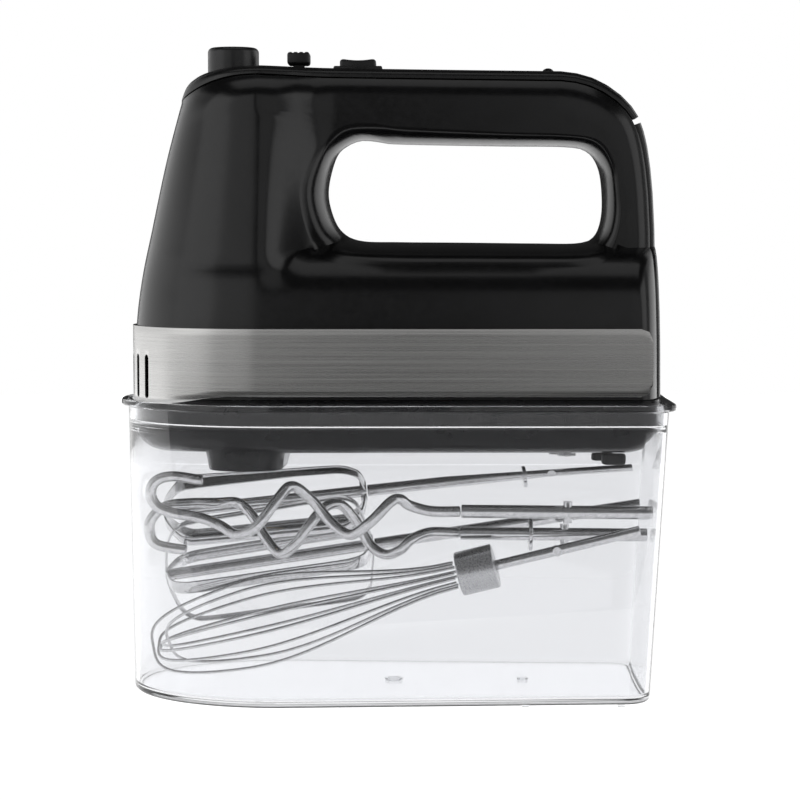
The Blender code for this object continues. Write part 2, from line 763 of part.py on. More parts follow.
def nose_cap_stations(steps):
    """Cross-sections of the cover over the nose, from its tip back: (seam x, seam z, top z, width)."""
    seam_z = curve_value(TOP_LINE, BODY_NOSE) - 0.018 * (1 - SEAM_SHARE)
    tip_z = seam_z - seam_drop(seam_z)
    reach = BODY_NOSE - curve_value(NOSE_LINE, tip_z)
    full = cover_half_width(BODY_NOSE)
    stations = []
    for k in range(steps):
        turn = math.pi / 2 * (1 - k / steps)
        share = math.sin(turn)
        x = BODY_NOSE - reach * share
        z = seam_z - seam_drop(seam_z) * share ** 2.3
        crown = curve_value(CAP_LINE, share)
        stations.append(((x, z), (x, crown), full * math.cos(turn)))
    return stations


def strip_stations(count):
    """Cross-sections of the cover strip behind the nose, over the handle and down the rear."""
    rows = [row for row in side_frame(40) if row[4] == "edge"][::-1]
    picked = [rows[int(i)] for i in np.linspace(0, len(rows) - 1, count)]
    stations = []
    left = (1 - SEAM_SHARE ** 2.5) ** 0.4
    for sx, sz, ex, ez, _ in picked:
        seam = (sx + (ex - sx) * SEAM_SHARE, sz + (ez - sz) * SEAM_SHARE)
        stations.append((seam, (ex, ez), half_width(sx, sz) * left))
    return stations


def section_points(station, across, lift, inset):
    """One cross-section of a cover, from the left seam over the middle to the right seam."""
    seam, crown, width = station
    width = max(0.0, width - inset)
    points = []
    for k in range(-across, across + 1):
        turn = math.pi / 2 * k / across
        share = math.sin(turn)
        up = 0.08 + 0.92 * max(0.0, 1 - abs(share) ** 3) ** (1 / 3)
        x = seam[0] + (crown[0] - seam[0]) * up
        z = seam[1] + (crown[1] - seam[1]) * up + lift
        points.append((x, width * share, z))
    return points


def cover_shell(name, stations, look, inset, thickness=0.0016, across=4):
    rows = [section_points(station, across, GAP, inset) for station in stations]
    made = skin(name, rows, (0, 0, 0.180))
    wall = made.modifiers.new("wall", "SOLIDIFY")
    wall.thickness = thickness
    wall.offset = -1
    return place(made, look)


def make_covers():
    look = material("cover_black", BLACK, 0.15)
    strip = strip_stations(90)
    front = [s for s in strip if s[1][0] < NOTCH_X and s[1][1] > 0.225]
    rear = [s for s in strip if s[1][1] < 0.2262]
    top = cover_shell("top_cover", nose_cap_stations(8) + front[::5] + [front[-1]], look, 0.0004)
    bezel_low = (TURBO_X - 0.0096, -0.0080, 0.2462)
    cut(top, box("turbo_bezel", bezel_low, (TURBO_X + 0.0096, 0.0080, 0.2482), None), "UNION")
    cut(top, box("turbo_hole", (TURBO_X - 0.0075, -0.0064, 0.230), (TURBO_X + 0.0075, 0.0064, 0.260), None))
    hole = cylinder("knob_hole", KNOB_R + 0.0004, (KNOB_X, 0, 0.230), (KNOB_X, 0, 0.260), None, sides=32)
    cut(top, hole)
    cut(top, turned_nub(), "UNION")
    slot_low = (SLIDER_X - SLIDER_TRAVEL - 0.0030, -0.0024, 0.230)
    cut(top, box("slider_slot", slot_low, (SLIDER_X + 0.0030, 0.0024, 0.260), None))
    back = cover_shell("rear_cover", [rear[0]] + rear[2::5] + [rear[-1]], look, 0.0029)
    inlet = cylinder("inlet_hole", INLET_R, (0.098, 0, INLET_Z), (0.110, 0, INLET_Z), None)
    cut(back, inlet)


def turned_nub():
    """A small rounded rib across the cover near its rear end."""
    bpy.ops.mesh.primitive_uv_sphere_add(segments=12, ring_count=8, radius=1, location=(0.0612, 0, 0.2458))
    nub = bpy.context.object
    nub.name = "cover_rib"
    nub.data.transform(Matrix.Diagonal((0.0024, 0.0060, 0.0019, 1)))
    return as_cutter(nub)


def make_cable_grommet():
    """The flush cable inlet low on the rear cover."""
    washer(
        "cable_grommet", INLET_R - GAP, 0.0031, 0.0, 0.0095, material("grommet_black", BLACK, 0.6),
        (0.0952, 0.0, INLET_Z), axis=(1, 0, 0), steps=16,
    )


# ---------------------------------------------------------------- controls


def make_eject_button():
    knob = material("knob_black", BLACK, 0.3)
    profile = [
        (0, KNOB_TOP), (0.0050, KNOB_TOP - 0.0002), (0.0088, KNOB_TOP - 0.0009),
        (KNOB_R, KNOB_TOP - 0.0024), (KNOB_R, 0.2375), (0, 0.2375),
    ]
    turned("eject_button", profile, knob, (KNOB_X, 0, 0), steps=32)
    nylon = material("nylon", NYLON, 0.5)
    leg_in, leg_out = SPINDLE_Y - 0.0020, SPINDLE_Y + 0.0020
    fork = [
        (-0.004, 0.2372), (-0.004, 0.1860), (-leg_out, 0.1860), (-leg_out, 0.1570),
        (-leg_in, 0.1570), (-leg_in, 0.1810), (leg_in, 0.1810), (leg_in, 0.1570),
        (leg_out, 0.1570), (leg_out, 0.1860), (0.004, 0.1860), (0.004, 0.2372),
    ]
    extruded(
        "ejector_fork", [fork], 0.0040, nylon, (SPINDLE_X, 0, 0),
        (math.pi / 2, 0, math.pi / 2),
    )
    guide = box("eject_guide", (-0.0680, -0.0150, 0.2010), (-0.0440, 0.0150, 0.2035), nylon)
    cut(guide, cylinder("guide_hole", 0.0052, (SPINDLE_X, 0, 0.190), (SPINDLE_X, 0, 0.210), None))
    coil("eject_spring", SPINDLE_X, 0.0076, 0.0006, 0.2042, 0.2366, 5)


def coil(name, x, radius, wire_radius, low, high, turns, per_turn=9):
    count = turns * per_turn
    points = []
    for k in range(count + 1):
        turn = 2 * math.pi * k / per_turn
        z = low + wire_radius + (high - low - 2 * wire_radius) * k / count
        points.append((x + radius * math.cos(turn), radius * math.sin(turn), z))
    wire(name, points, wire_radius, material("spring_steel", STEEL, 0.3, 1.0), resolution=0)


def make_speed_slider():
    look = material("slider_black", BLACK, 0.35)
    low = (SLIDER_X - 0.00445, -0.0055, 0.2488)
    tab = box("speed_slider", low, (SLIDER_X + 0.00445, 0.0055, 0.2539), look, bevel=0.0012)
    stem_low = (SLIDER_X - 0.0022, -0.0018, 0.2380)
    cut(tab, box("slider_stem", stem_low, (SLIDER_X + 0.0022, 0.0018, 0.2500), None), "UNION")
    foot = box("slider_foot", (SLIDER_X - 0.0050, -0.0045, 0.2369), (SLIDER_X + 0.0050, 0.0045, 0.2392), None)
    cut(tab, foot, "UNION")
    look = material("switch_grey", GREY, 0.5)
    box("speed_switch", (-0.0485, -0.0080, 0.2250), (-0.0270, 0.0080, 0.2342), look)


def make_turbo_button():
    look = material("turbo_black", BLACK, 0.35)
    low = (TURBO_X - 0.00715, -0.0060, 0.2400)
    box("turbo_button", low, (TURBO_X + 0.00715, 0.0060, 0.2510), look, bevel=0.0010)
    coil("turbo_spring", TURBO_X, 0.0030, 0.0004, 0.2343, 0.2397, 3, per_turn=8)
    look = material("switch_black", BLACK, 0.5)
    box("turbo_switch", (-0.0220, -0.0055, 0.2262), (-0.0060, 0.0055, 0.2340), look)


# ---------------------------------------------------------------- motor and gears


def tooth_height(phase, flank=0.10, crest=0.18):
    """0 in the gap and 1 on the crest of a tooth, over one pitch; phase 0 is the crest's middle."""
    away = abs((phase + 0.5) % 1 - 0.5)
    return min(1.0, max(0.0, (crest / 2 + flank - away) / flank))


def worm_radius(x, turn):
    root, crest = WORM_PITCH_R - 0.0009, WORM_PITCH_R + 0.0007
    fade = smoothstep(x, WORM_FRONT, WORM_FRONT + 0.0030) * smoothstep(-x, -WORM_REAR, -WORM_REAR + 0.0030)
    phase = (x - SPINDLE_X) / TOOTH_PITCH - turn / (2 * math.pi)
    return root + (crest - root) * tooth_height(phase) * fade


def make_worm_shaft():
    """Motor shaft with the worm cut on its front end, lofted along its axis."""
    sides, per_pitch = 12, 6
    steps = int((WORM_REAR - WORM_FRONT) / TOOTH_PITCH * per_pitch)
    stations = [SHAFT_FRONT, WORM_FRONT - 0.0004]
    stations += list(np.linspace(WORM_FRONT, WORM_REAR, steps))
    stations += [WORM_REAR + 0.0004, SHAFT_REAR]
    rings = []
    for x in stations:
        ring = []
        for k in range(sides):
            turn = 2 * math.pi * k / sides
            on_worm = WORM_FRONT <= x <= WORM_REAR
            r = worm_radius(x, turn) if on_worm else SHAFT_R
            ring.append((x, r * math.cos(turn), MOTOR_Z + r * math.sin(turn)))
        rings.append(ring)
    place(loft("worm_shaft", rings), material("shaft_steel", STEEL, 0.25, 1.0))


def gear_outline(phase):
    """Tooth outline of a gear whose tooth 0 sits at phase, a share of one pitch."""
    root, tip = GEAR_PITCH_R - 0.0010, GEAR_PITCH_R + 0.0006
    points = []
    for i in range(GEAR_TEETH):
        for share, r in ((-0.28, root), (-0.10, tip), (0.10, tip), (0.28, root)):
            turn = 2 * math.pi * (i + phase + share) / GEAR_TEETH
            points.append((r * math.cos(turn), r * math.sin(turn)))
    return points


def make_gears():
    nylon = material("gear_nylon", NYLON, 0.45)
    steel = material("spindle_steel", STEEL, 0.3, 1.0)
    brass = material("bush_brass", BRASS, 0.35, 1.0)
    for side, sign in (("left", -1), ("right", 1)):
        # the worm's crest faces the right gear, so that gear turns a gap to it and the left one a tooth
        phase = 0.0 if sign > 0 else 0.5
        y = sign * SPINDLE_Y
        extruded(
            "gear_" + side, [gear_outline(phase), circle(SPINDLE_R + GAP, 16)],
            GEAR_THICKNESS, nylon, (SPINDLE_X, y, MOTOR_Z),
        )
        washer("spindle_" + side, SPINDLE_R, SOCKET_R, 0.0915, 0.1640, steel, (SPINDLE_X, y, 0), steps=16)
        washer(
            "spindle_bush_" + side, 0.0083, SPINDLE_R + GAP, 0.0990, 0.1050, brass,
            (SPINDLE_X, y, 0), steps=16,
        )


def make_gear_chassis():
    """Plate over the base with a hole for each spindle, and the wall that holds the front bearing."""
    look = material("chassis_zinc", (0.5, 0.5, 0.5), 0.45, 1.0)
    chassis = box("gear_chassis", (-0.0790, -0.0330, 0.1220), (-0.0330, 0.0330, 0.1250), look)
    wall = box("chassis_wall", (-0.0400, -0.0200, 0.1230), (-0.0360, 0.0200, 0.1560), None)
    cut(chassis, wall, "UNION")
    for sign in (-1, 1):
        y = sign * SPINDLE_Y
        hole = cylinder("plate_hole", 0.0064, (SPINDLE_X, y, 0.118), (SPINDLE_X, y, 0.130), None)
        cut(chassis, hole)
    cut(chassis, cylinder("bearing_seat", 0.0073, (-0.050, 0, MOTOR_Z), (-0.030, 0, MOTOR_Z), None))
    bracket = box("motor_bracket", (0.0440, -0.0240, 0.1180), (0.0480, 0.0240, 0.1560), look)
    cut(bracket, cylinder("rear_seat", 0.0073, (0.040, 0, MOTOR_Z), (0.052, 0, MOTOR_Z), None))
    brass = material("bearing_brass", BRASS, 0.35, 1.0)
    for name, x in (("front_bearing", -0.0405), ("rear_bearing", 0.0435)):
        washer(name, 0.0070, SHAFT_R + GAP, 0, 0.0050, brass, (x, 0, MOTOR_Z), (1, 0, 0), steps=16)


def arc(radius, start, end, count):
    turns = (math.radians(start + (end - start) * k / count) for k in range(count + 1))
    return [(radius * math.cos(t), radius * math.sin(t)) for t in turns]


def make_stator():
    """Laminated field core with an upper and a lower pole, and a coil round each pole."""
    window = [(-0.0210, 0.0190), (-0.0095, 0.0190)] + arc(0.0170, 124, 148, 2)
    window += arc(0.0146, 150, 30, 8) + arc(0.0170, 32, 56, 2) + [(0.0095, 0.0190), (0.0210, 0.0190)]
    window = window + [(-x, -z) for x, z in window]
    outside = [(0.0270, -0.0210), (0.0270, 0.0210), (0.0230, 0.0250), (-0.0230, 0.0250)]
    outside = outside + [(-x, -z) for x, z in outside]
    outside = outside[:4] + [(-0.0270, 0.0210), (-0.0270, -0.0210), (-0.0230, -0.0250), (0.0230, -0.0250)]
    extruded(
        "stator_core", [outside, window], 0.0340, material("laminations", GREY, 0.5, 1.0),
        (0, 0, MOTOR_Z), (math.pi / 2, 0, math.pi / 2),
    )
    copper = material("copper", COPPER, 0.35, 1.0)
    for name, sign in (("field_coil_upper", 1), ("field_coil_lower", -1)):
        loops = [rounded_box(0.0230, 0.0150, 0.005), rounded_box(0.0180, 0.0100, 0.002)]
        extruded(name, loops, 0.0034, copper, (0, 0, MOTOR_Z + sign * 0.0169))


def rounded_box(half_x, half_y, corner):
    points = []
    for cx, cy, start in ((1, 1, 0), (-1, 1, 90), (-1, -1, 180), (1, -1, 270)):
        for dx, dy in arc(corner, start, start + 90, 3):
            points.append((cx * (half_x - corner) + dx, cy * (half_y - corner) + dy))
    return points


def make_rotor():
    steel = material("rotor_steel", GREY, 0.4, 1.0)
    core = []
    for i in range(12):
        for share, r in ((-0.36, 0.0140), (0.36, 0.0140), (0.42, 0.0100), (0.58, 0.0100)):
            turn = 2 * math.pi * (i + share) / 12
            core.append((r * math.cos(turn), r * math.sin(turn)))
    turn_to_x = (math.pi / 2, 0, math.pi / 2)
    bore = circle(SHAFT_R + GAP, 12)
    extruded("rotor_core", [core, bore], 0.0320, steel, (0, 0, MOTOR_Z), turn_to_x)
    copper = material("winding_copper", COPPER, 0.35, 1.0)
    for name, x in (("winding_front", -0.0228), ("winding_rear", 0.0163)):
        washer(name, 0.0115, 0.0050, 0, 0.0065, copper, (x, 0, MOTOR_Z), (1, 0, 0), steps=14)
    washer("commutator", 0.0080, SHAFT_R + GAP, 0, 0.0100, copper, (0.0290, 0, MOTOR_Z), (1, 0, 0), steps=18)
    vanes = []
    for i in range(9):
        for share, r in ((-0.10, 0.0070), (-0.02, 0.0180), (0.10, 0.0180), (0.10, 0.0070)):
            turn = 2 * math.pi * (i + share) / 9
            vanes.append((r * math.cos(turn), r * math.sin(turn)))
    look = material("fan_nylon", NYLON, 0.5)
    extruded("cooling_fan", [vanes, bore], 0.0060, look, (-0.0290, 0, MOTOR_Z), turn_to_x)


def make_brushes():
    carbon = material("carbon", (0.03, 0.03, 0.03), 0.6)
    brass = material("holder_brass", BRASS, 0.35, 1.0)
    for side, sign in (("left", -1), ("right", 1)):
        near, far = sign * 0.0084, sign * 0.0200
        low = (0.0310, min(near, far), MOTOR_Z - 0.0025)
        box("brush_" + side, low, (0.0370, max(near, far), MOTOR_Z + 0.0025), carbon)
        holder = [(-0.0042, -0.0037), (0.0042, -0.0037), (0.0042, 0.0037), (-0.0042, 0.0037)]
        hole = [(-0.0033, -0.0028), (0.0033, -0.0028), (0.0033, 0.0028), (-0.0033, 0.0028)]
        extruded(
            "brush_holder_" + side, [holder, hole], 0.0100, brass,
            (0.0340, sign * 0.0165, MOTOR_Z), (math.pi / 2, 0, 0),
        )


# ---------------------------------------------------------------- attachments


def along(start, end, share):
    return Vector(start).lerp(Vector(end), share)


def frame_along(start, end, up=(0, 0, 1)):
    """Matrix whose X runs from start to end, with Z as near to up as it can be."""
    x = (Vector(end) - Vector(start)).normalized()
    y = Vector(up).cross(x).normalized()
    z = x.cross(y)
    made = Matrix((x, y, z)).transposed().to_4x4()
    made.translation = Vector(start)
    return made


def strip_loop(length, radius):
    """One strip's side view, from the hub over the tip and back to the hub, as (along, out)."""
    half = [
        (0.0014, 0.0032), (0.0030, 0.0100), (0.0052, radius - 0.0040), (0.0100, radius - 0.0006),
        (0.0180, radius), (length * 0.5, radius * 0.98), (length - 0.0160, radius * 0.96),
        (length - 0.0080, radius * 0.90), (length - 0.0030, radius - 0.0070), (length, 0.0040),
    ]
    return half + [(x, -out) for x, out in half[::-1]]


def lugged_shaft(name, start, end, radius, look, across):
    """A plain shaft with the small cross lugs that the spindle drives."""
    start, end = Vector(start), Vector(end)
    shaft = cylinder(name, radius, start, end, look, sides=16)
    middle = end - (end - start).normalized() * LUG_FROM_END
    reach = Vector(across) * (radius + LUG_REACH)
    cut(shaft, cylinder("lug", LUG_R, middle - reach, middle + reach, None, sides=12), "UNION")
    return shaft


def make_beater(number, head, tip, end, radius, twist):
    """A plain shaft, and a cage of two flat strip loops that cross at the tip."""
    look = material(f"beater_chrome_{number}", CHROME, 0.12, 1.0)
    shaft_start = along(head, end, -0.0004 / (Vector(end) - Vector(head)).length)
    lugged_shaft(f"beater_shaft_{number}", shaft_start, end, 0.0024, look, (0, 1, 0))
    frame = frame_along(head, tip)
    length = (Vector(tip) - Vector(head)).length
    strips = []
    for k in range(2):
        turned_frame = frame @ Matrix.Rotation(math.radians(twist + 90 * k), 4, "X")
        profile = strip_loop(length - k * STRIP_THICKNESS / 2, radius)

        def fill(bm, turned_frame=turned_frame, profile=profile):
            rows = [
                [turned_frame @ Vector((x, side * STRIP_WIDTH / 2, out)) for side in (-1, 1)]
                for x, out in profile
            ]
            fill_grid(bm, rows)

        strip = mesh_object(f"beater_cage_{number}" if k == 0 else f"second_loop_{number}", fill)
        wall = strip.modifiers.new("wall", "SOLIDIFY")
        wall.thickness = STRIP_THICKNESS
        wall.offset = 0
        strips.append(strip)
    cage = place(strips[0], look)
    cut(cage, as_cutter(strips[1]), "UNION")
    hub_start, hub_end = frame @ Vector((0.0008, 0, 0)), frame @ Vector((0.0034, 0, 0))
    cut(cage, cylinder(f"hub_{number}", 0.0042, hub_start, hub_end, None, sides=12), "UNION")
    core_end = frame @ Vector((length - 0.0002, 0, 0))
    cut(cage, cylinder(f"core_{number}", 0.0024, hub_start, core_end, None, sides=12), "UNION")


def make_beater_collar():
    """The ring on one beater's shaft that tells the two apart."""
    _, head, _, end, _, _ = BEATERS[0]
    middle = along(head, end, 0.591)
    frame = (Vector(end) - Vector(head)).normalized()
    look = material("collar_chrome", CHROME, 0.12, 1.0)
    washer("beater_collar", 0.0058, 0.0024 + GAP, -0.0008, 0.0008, look, middle, frame)


def hook_path(y, end_y, swing_start, points, per_span=3):
    """The hook's wire: it winds about its axis between the shaft and the last bend."""
    made = []
    total = len(points) - 1
    for k in range(total * per_span + 1):
        s = k / per_span
        i = min(int(s), total - 1)
        t = s - i
        p = [np.array(points[min(max(i + j, 0), total)]) for j in (-1, 0, 1, 2)]
        flat = 0.5 * (
            2 * p[1] + (p[2] - p[0]) * t + (2 * p[0] - 5 * p[1] + 4 * p[2] - p[3]) * t * t
            + (3 * p[1] - p[0] - 3 * p[2] + p[3]) * t ** 3
        )
        fade = smoothstep(-flat[0], -0.018, 0.0) * smoothstep(flat[0], -0.080, -0.062)
        turn = 2 * math.pi * (flat[0] - swing_start) / HOOK_PITCH
        inwards = (end_y - y) * smoothstep(-flat[0], 0.055, 0.088)
        made.append((flat[0], y + inwards + HOOK_SWING * fade * math.sin(turn), flat[1]))
    return made


def make_hooks():
    for number, y, end_y, z, end, points in HOOKS:
        look = material(f"hook_chrome_{number}", CHROME, 0.1, 1.0)
        peak = (-0.0395, -0.0235)[number - 1]
        wire(f"hook_wire_{number}", hook_path(y, end_y, peak, points), 0.0021, look, resolution=2)
        start = (HOOK_SHAFT_START, y, z + 0.0002)
        lugged_shaft(f"hook_shaft_{number}", start, (end, y, z - 0.0005), 0.0026, look, (0, 0, 1))
    _, y, _, z, _, _ = HOOKS[1]
    look = material("hook_collar_chrome", CHROME, 0.12, 1.0)
    washer("hook_collar", 0.0066, 0.0026 + GAP, -0.0008, 0.0008, look, (0.0540, y, z - 0.0002), (1, 0, 0))


def make_whisk():
    """A shaft, a ferrule and bare wire loops that cross at the tip, one just behind the other."""
    look = material("whisk_steel", CHROME, 0.15, 1.0)
    axis = (WHISK_END - WHISK_FERRULE).normalized()
    washer("whisk_ferrule", 0.0087, 0.0020 + GAP, -0.0075, 0.0075, look, WHISK_FERRULE, axis, steps=24)
    lugged_shaft("whisk_shaft", WHISK_FERRULE - axis * 0.0070, WHISK_END, 0.0020, look, (0, 1, 0))
    start = WHISK_FERRULE - axis * 0.0087
    length = (start - WHISK_TIP).length
    frame = frame_along(start, WHISK_TIP)
    for i in range(WHISK_LOOPS):
        turned_frame = frame @ Matrix.Rotation(math.pi * (i + 0.35) / WHISK_LOOPS, 4, "X")
        reach = length - i * 0.0022
        points = []
        for k in range(29):
            turn = math.pi * k / 28
            out = math.cos(turn)
            far = math.sin(turn) ** 0.72
            neck = 0.0050 + (WHISK_RADIUS - 0.0050) * smoothstep(far, 0.0, 0.72)
            out = math.copysign(neck * abs(out) ** 0.55, out)
            points.append(turned_frame @ Vector((reach * far, 0, out)))
        wire(f"whisk_wire_{i + 1}", points, WHISK_WIRE, look, resolution=0)


def main():
    vents = make_vent_cutters()
    make_storage_case()
    make_housing_halves(vents)
    make_base_pan()
    make_base_screws()
    make_heel_feet()
    make_trim_band(vents)
    make_covers()
    make_cable_grommet()
    make_eject_button()
    make_speed_slider()
    make_turbo_button()
    make_worm_shaft()
    make_gears()
    make_gear_chassis()
    make_stator()
    make_rotor()
    make_brushes()
    for beater in BEATERS:
        make_beater(*beater)
    make_beater_collar()
    make_hooks()
    make_whisk()


clear_scene()
PARTS = new_collection("hand_mixer")
CUTTERS = new_collection("cutters")
main()
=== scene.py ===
"""Looks of a hand mixer that stands on its clear storage case, with its attachments inside.

Metres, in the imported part's frame: +Z up, the nose towards -X, the viewer on the -Y side.
"""

import json
import math

import bpy
import bmesh
import numpy as np
from mathutils import Matrix, Vector


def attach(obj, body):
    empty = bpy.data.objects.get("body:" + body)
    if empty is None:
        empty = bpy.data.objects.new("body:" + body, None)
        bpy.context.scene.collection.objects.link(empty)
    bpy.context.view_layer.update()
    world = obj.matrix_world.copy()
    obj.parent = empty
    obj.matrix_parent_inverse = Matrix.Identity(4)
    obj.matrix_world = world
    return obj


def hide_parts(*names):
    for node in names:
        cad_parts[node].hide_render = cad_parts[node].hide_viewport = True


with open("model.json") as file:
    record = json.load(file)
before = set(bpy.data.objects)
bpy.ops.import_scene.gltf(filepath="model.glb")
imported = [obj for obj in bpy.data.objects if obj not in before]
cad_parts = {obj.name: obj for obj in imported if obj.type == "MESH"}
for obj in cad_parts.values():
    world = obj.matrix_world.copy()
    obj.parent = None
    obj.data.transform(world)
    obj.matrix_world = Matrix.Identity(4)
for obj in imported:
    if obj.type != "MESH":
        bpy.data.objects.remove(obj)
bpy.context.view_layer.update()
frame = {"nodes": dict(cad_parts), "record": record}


# Studio light, as shares of full white
FLOOR_GLOW = 0.96
OVERHEAD_GLOW = 0.40
FRONT_GLOW = 0.26  # behind the viewer
# Cards that only reflections find: name, low corner, high corner, glow
CARDS = (
    ("card_front", (-0.18, -1.55, -0.1), (0.10, -1.5, 1.5), 0.05),
    ("card_front_left", (-1.6, -1.55, -0.1), (-0.18, -1.5, 1.5), 0.62),
    ("card_front_right", (0.10, -1.55, -0.1), (1.6, -1.5, 1.5), 0.42),
    ("card_left", (-1.45, -1.6, -0.1), (-1.4, -0.25, 1.5), 0.80),
    ("card_right", (1.4, -1.6, -0.1), (1.45, 0.50, 1.5), 0.20),
    ("card_back", (-0.75, 1.5, -0.1), (0.75, 1.55, 1.5), 0.03),
    ("card_top", (-1.6, -1.6, 1.5), (1.6, 1.6, 1.55), 0.02),
    ("card_floor", (-1.6, -1.6, 0.0), (1.6, -0.17, 0.001), 0.04),
)
# Lamps: name, place, target, (width, height), radiance
SOFTBOXES = (
    ("left_box", (-1.10, -0.62, 0.42), (-0.05, 0, 0.16), (0.90, 1.2), 0.3),
    ("right_box", (1.15, -0.45, 0.45), (0.05, 0, 0.18), (0.80, 1.2), 0.8),
    ("top_box", (0.0, -0.1, 1.30), (0.0, 0, 0.15), (1.2, 0.7), 0.5),
)

# Clearances
GAP = 0.0003  # clearance between pieces that rest on each other
SPLIT = 0.00015  # half the gap between the two housing halves

# The storage case
RIM_Z = 0.1172
RIM_THICKNESS = 0.0026
CASE_WALL = 0.0016
CASE_FLOOR = 0.0022
CASE_CORNER = 0.0020  # rounding between the floor and the walls
# Moulding marks along the near bottom edge
FOOT_MARKS = (-0.0520, 0.0010, 0.0510, 0.0880)
LEDGE = 0.0008  # rib round the inside that the base nests in
CASE_NOSE_LENGTH = 0.060

# The body, the band round it and its air slots
BODY_NOSE = -0.0522  # where the round nose meets the flat sides
BODY_BOTTOM = 0.1190
BODY_HALF_WIDTH = 0.0452
HANDLE_HALF_WIDTH = 0.0195
SHELL = 0.0024  # wall of the housing
RAY_CENTRE = (0.0285, 0.198)  # the middle of the finger opening
TOP_EDGE = 0.018  # depth of the rounding between the flat side and the top
REAR_EDGE = 0.012  # the same at the rear
EDGE_POWER = 2.5  # how square that rounding is
NOSE_SWEEP = 2.3  # how late the cover's seam starts to dip round the nose
SEAM_SHARE = 0.76  # how far round the edge the housing reaches before the cover strip
SEAM_LEFT = (1 - SEAM_SHARE ** EDGE_POWER) ** (1 / EDGE_POWER)  # share of the width left there
BAND_LOW = 0.1203
BAND_HIGH = 0.1462
BAND_DIP = 0.0036
BAND_REAR = 0.0990
BAND_THICKNESS = 0.0006
BAND_CORNER = 0.0046
VENT_COUNT = 7
VENT_PITCH = math.radians(10.9)
VENT_WIDTH = 0.0030
VENT_LOW = 0.1183
VENT_HIGH = 0.1353
VENT_RADIUS = 0.0450
BAND_TIP = -0.1040

# Spindles, cord inlet and controls
SPINDLE_X = -0.0580
SPINDLE_Y = 0.0190
INLET_Z = 0.1320
INLET_R = 0.0068
KNOB_X = -0.0636
KNOB_R = 0.0101
KNOB_TOP = 0.2557
SLIDER_X = -0.0376
SLIDER_TRAVEL = 0.0090
TURBO_X = -0.0141

# The nose, as (z, x)
NOSE_LINE = [
    (0.1000, -0.1034), (0.1462, -0.1026), (0.1638, -0.1004), (0.1837, -0.0962),
    (0.2115, -0.0901), (0.2281, -0.0857), (0.2335, -0.0842),
]
# Side-view outlines, as (x, z)
TOP_LINE = [(-0.0520, 0.2480), (-0.0330, 0.2474), (0.0025, 0.2468), (0.0581, 0.2461), (0.0660, 0.2460)]
REAR_LINE = [
    (0.0660, 0.2460), (0.0723, 0.2452), (0.0786, 0.2434), (0.0843, 0.2405), (0.0898, 0.2365),
    (0.0941, 0.2320), (0.0972, 0.2272), (0.0991, 0.2217), (0.1004, 0.2160), (0.1016, 0.2080),
    (0.1026, 0.1980), (0.1034, 0.1840), (0.1039, 0.1600), (0.1044, 0.1400), (0.1046, 0.1190),
]
NOTCH_X = 0.0970  # where the top cover ends and the rear cover starts
OPENING = [
    (-0.0258, 0.2000), (-0.0245, 0.1905), (-0.0205, 0.1830), (-0.0130, 0.1794), (0.0025, 0.1789),
    (0.0285, 0.1787), (0.0560, 0.1784), (0.0735, 0.1785), (0.0800, 0.1812), (0.0828, 0.1890),
    (0.0829, 0.2000), (0.0812, 0.2090), (0.0768, 0.2148), (0.0680, 0.2166), (0.0420, 0.2169),
    (0.0025, 0.2176), (-0.0050, 0.2184), (-0.0120, 0.2191), (-0.0178, 0.2172), (-0.0226, 0.2125),
]
ROUNDING = [
    (-0.0352, 0.2010), (-0.0340, 0.1880), (-0.0290, 0.1770), (-0.0180, 0.1715), (0.0025, 0.1700),
    (0.0285, 0.1699), (0.0560, 0.1699), (0.0760, 0.1705), (0.0850, 0.1760), (0.0886, 0.1880),
    (0.0880, 0.2000), (0.0862, 0.2100), (0.0800, 0.2185), (0.0680, 0.2208), (0.0420, 0.2217),
    (0.0025, 0.2238), (-0.0065, 0.2250), (-0.0150, 0.2252), (-0.0230, 0.2225), (-0.0300, 0.2140),
]
# Half widths of the nose column, as (z, half width)
COLUMN_WIDTHS = [
    (0.1462, 0.0452), (0.1650, 0.0440), (0.1850, 0.0410), (0.2050, 0.0368), (0.2280, 0.0318),
    (0.2480, 0.0290),
]
PAN_BOTTOM = 0.0990
BASE_SCREWS = [(0.0675, -0.026), (0.0675, 0.026)]
# The cover over the nose, as (share of the way to the tip, z)
CAP_LINE = [(0.0, 0.2480), (0.35, 0.2474), (0.6, 0.2459), (0.8, 0.2433), (0.93, 0.2395), (1.0, 0.2345)]

# Beaters: number, start of the head, tip of the head, shaft end, head radius, turn of the strips
BEATERS = (
    (1, (-0.0104, 0.0200, 0.0770), (-0.0940, 0.0186, 0.0680), (0.0978, 0.0200, 0.0887), 0.0175, 45),
    (2, (-0.0073, 0.0080, 0.0565), (-0.0920, 0.0080, 0.0437), (0.1000, 0.0080, 0.0727), 0.0220, -10),
)
BEATER_ROD = 0.0024  # rod radius
STRIP_WIDTH = 0.0050
STRIP_THICKNESS = 0.0009
LUG_FROM_END = 0.0335  # cross lugs on every shaft
LUG_R = 0.0018
LUG_REACH = 0.0016
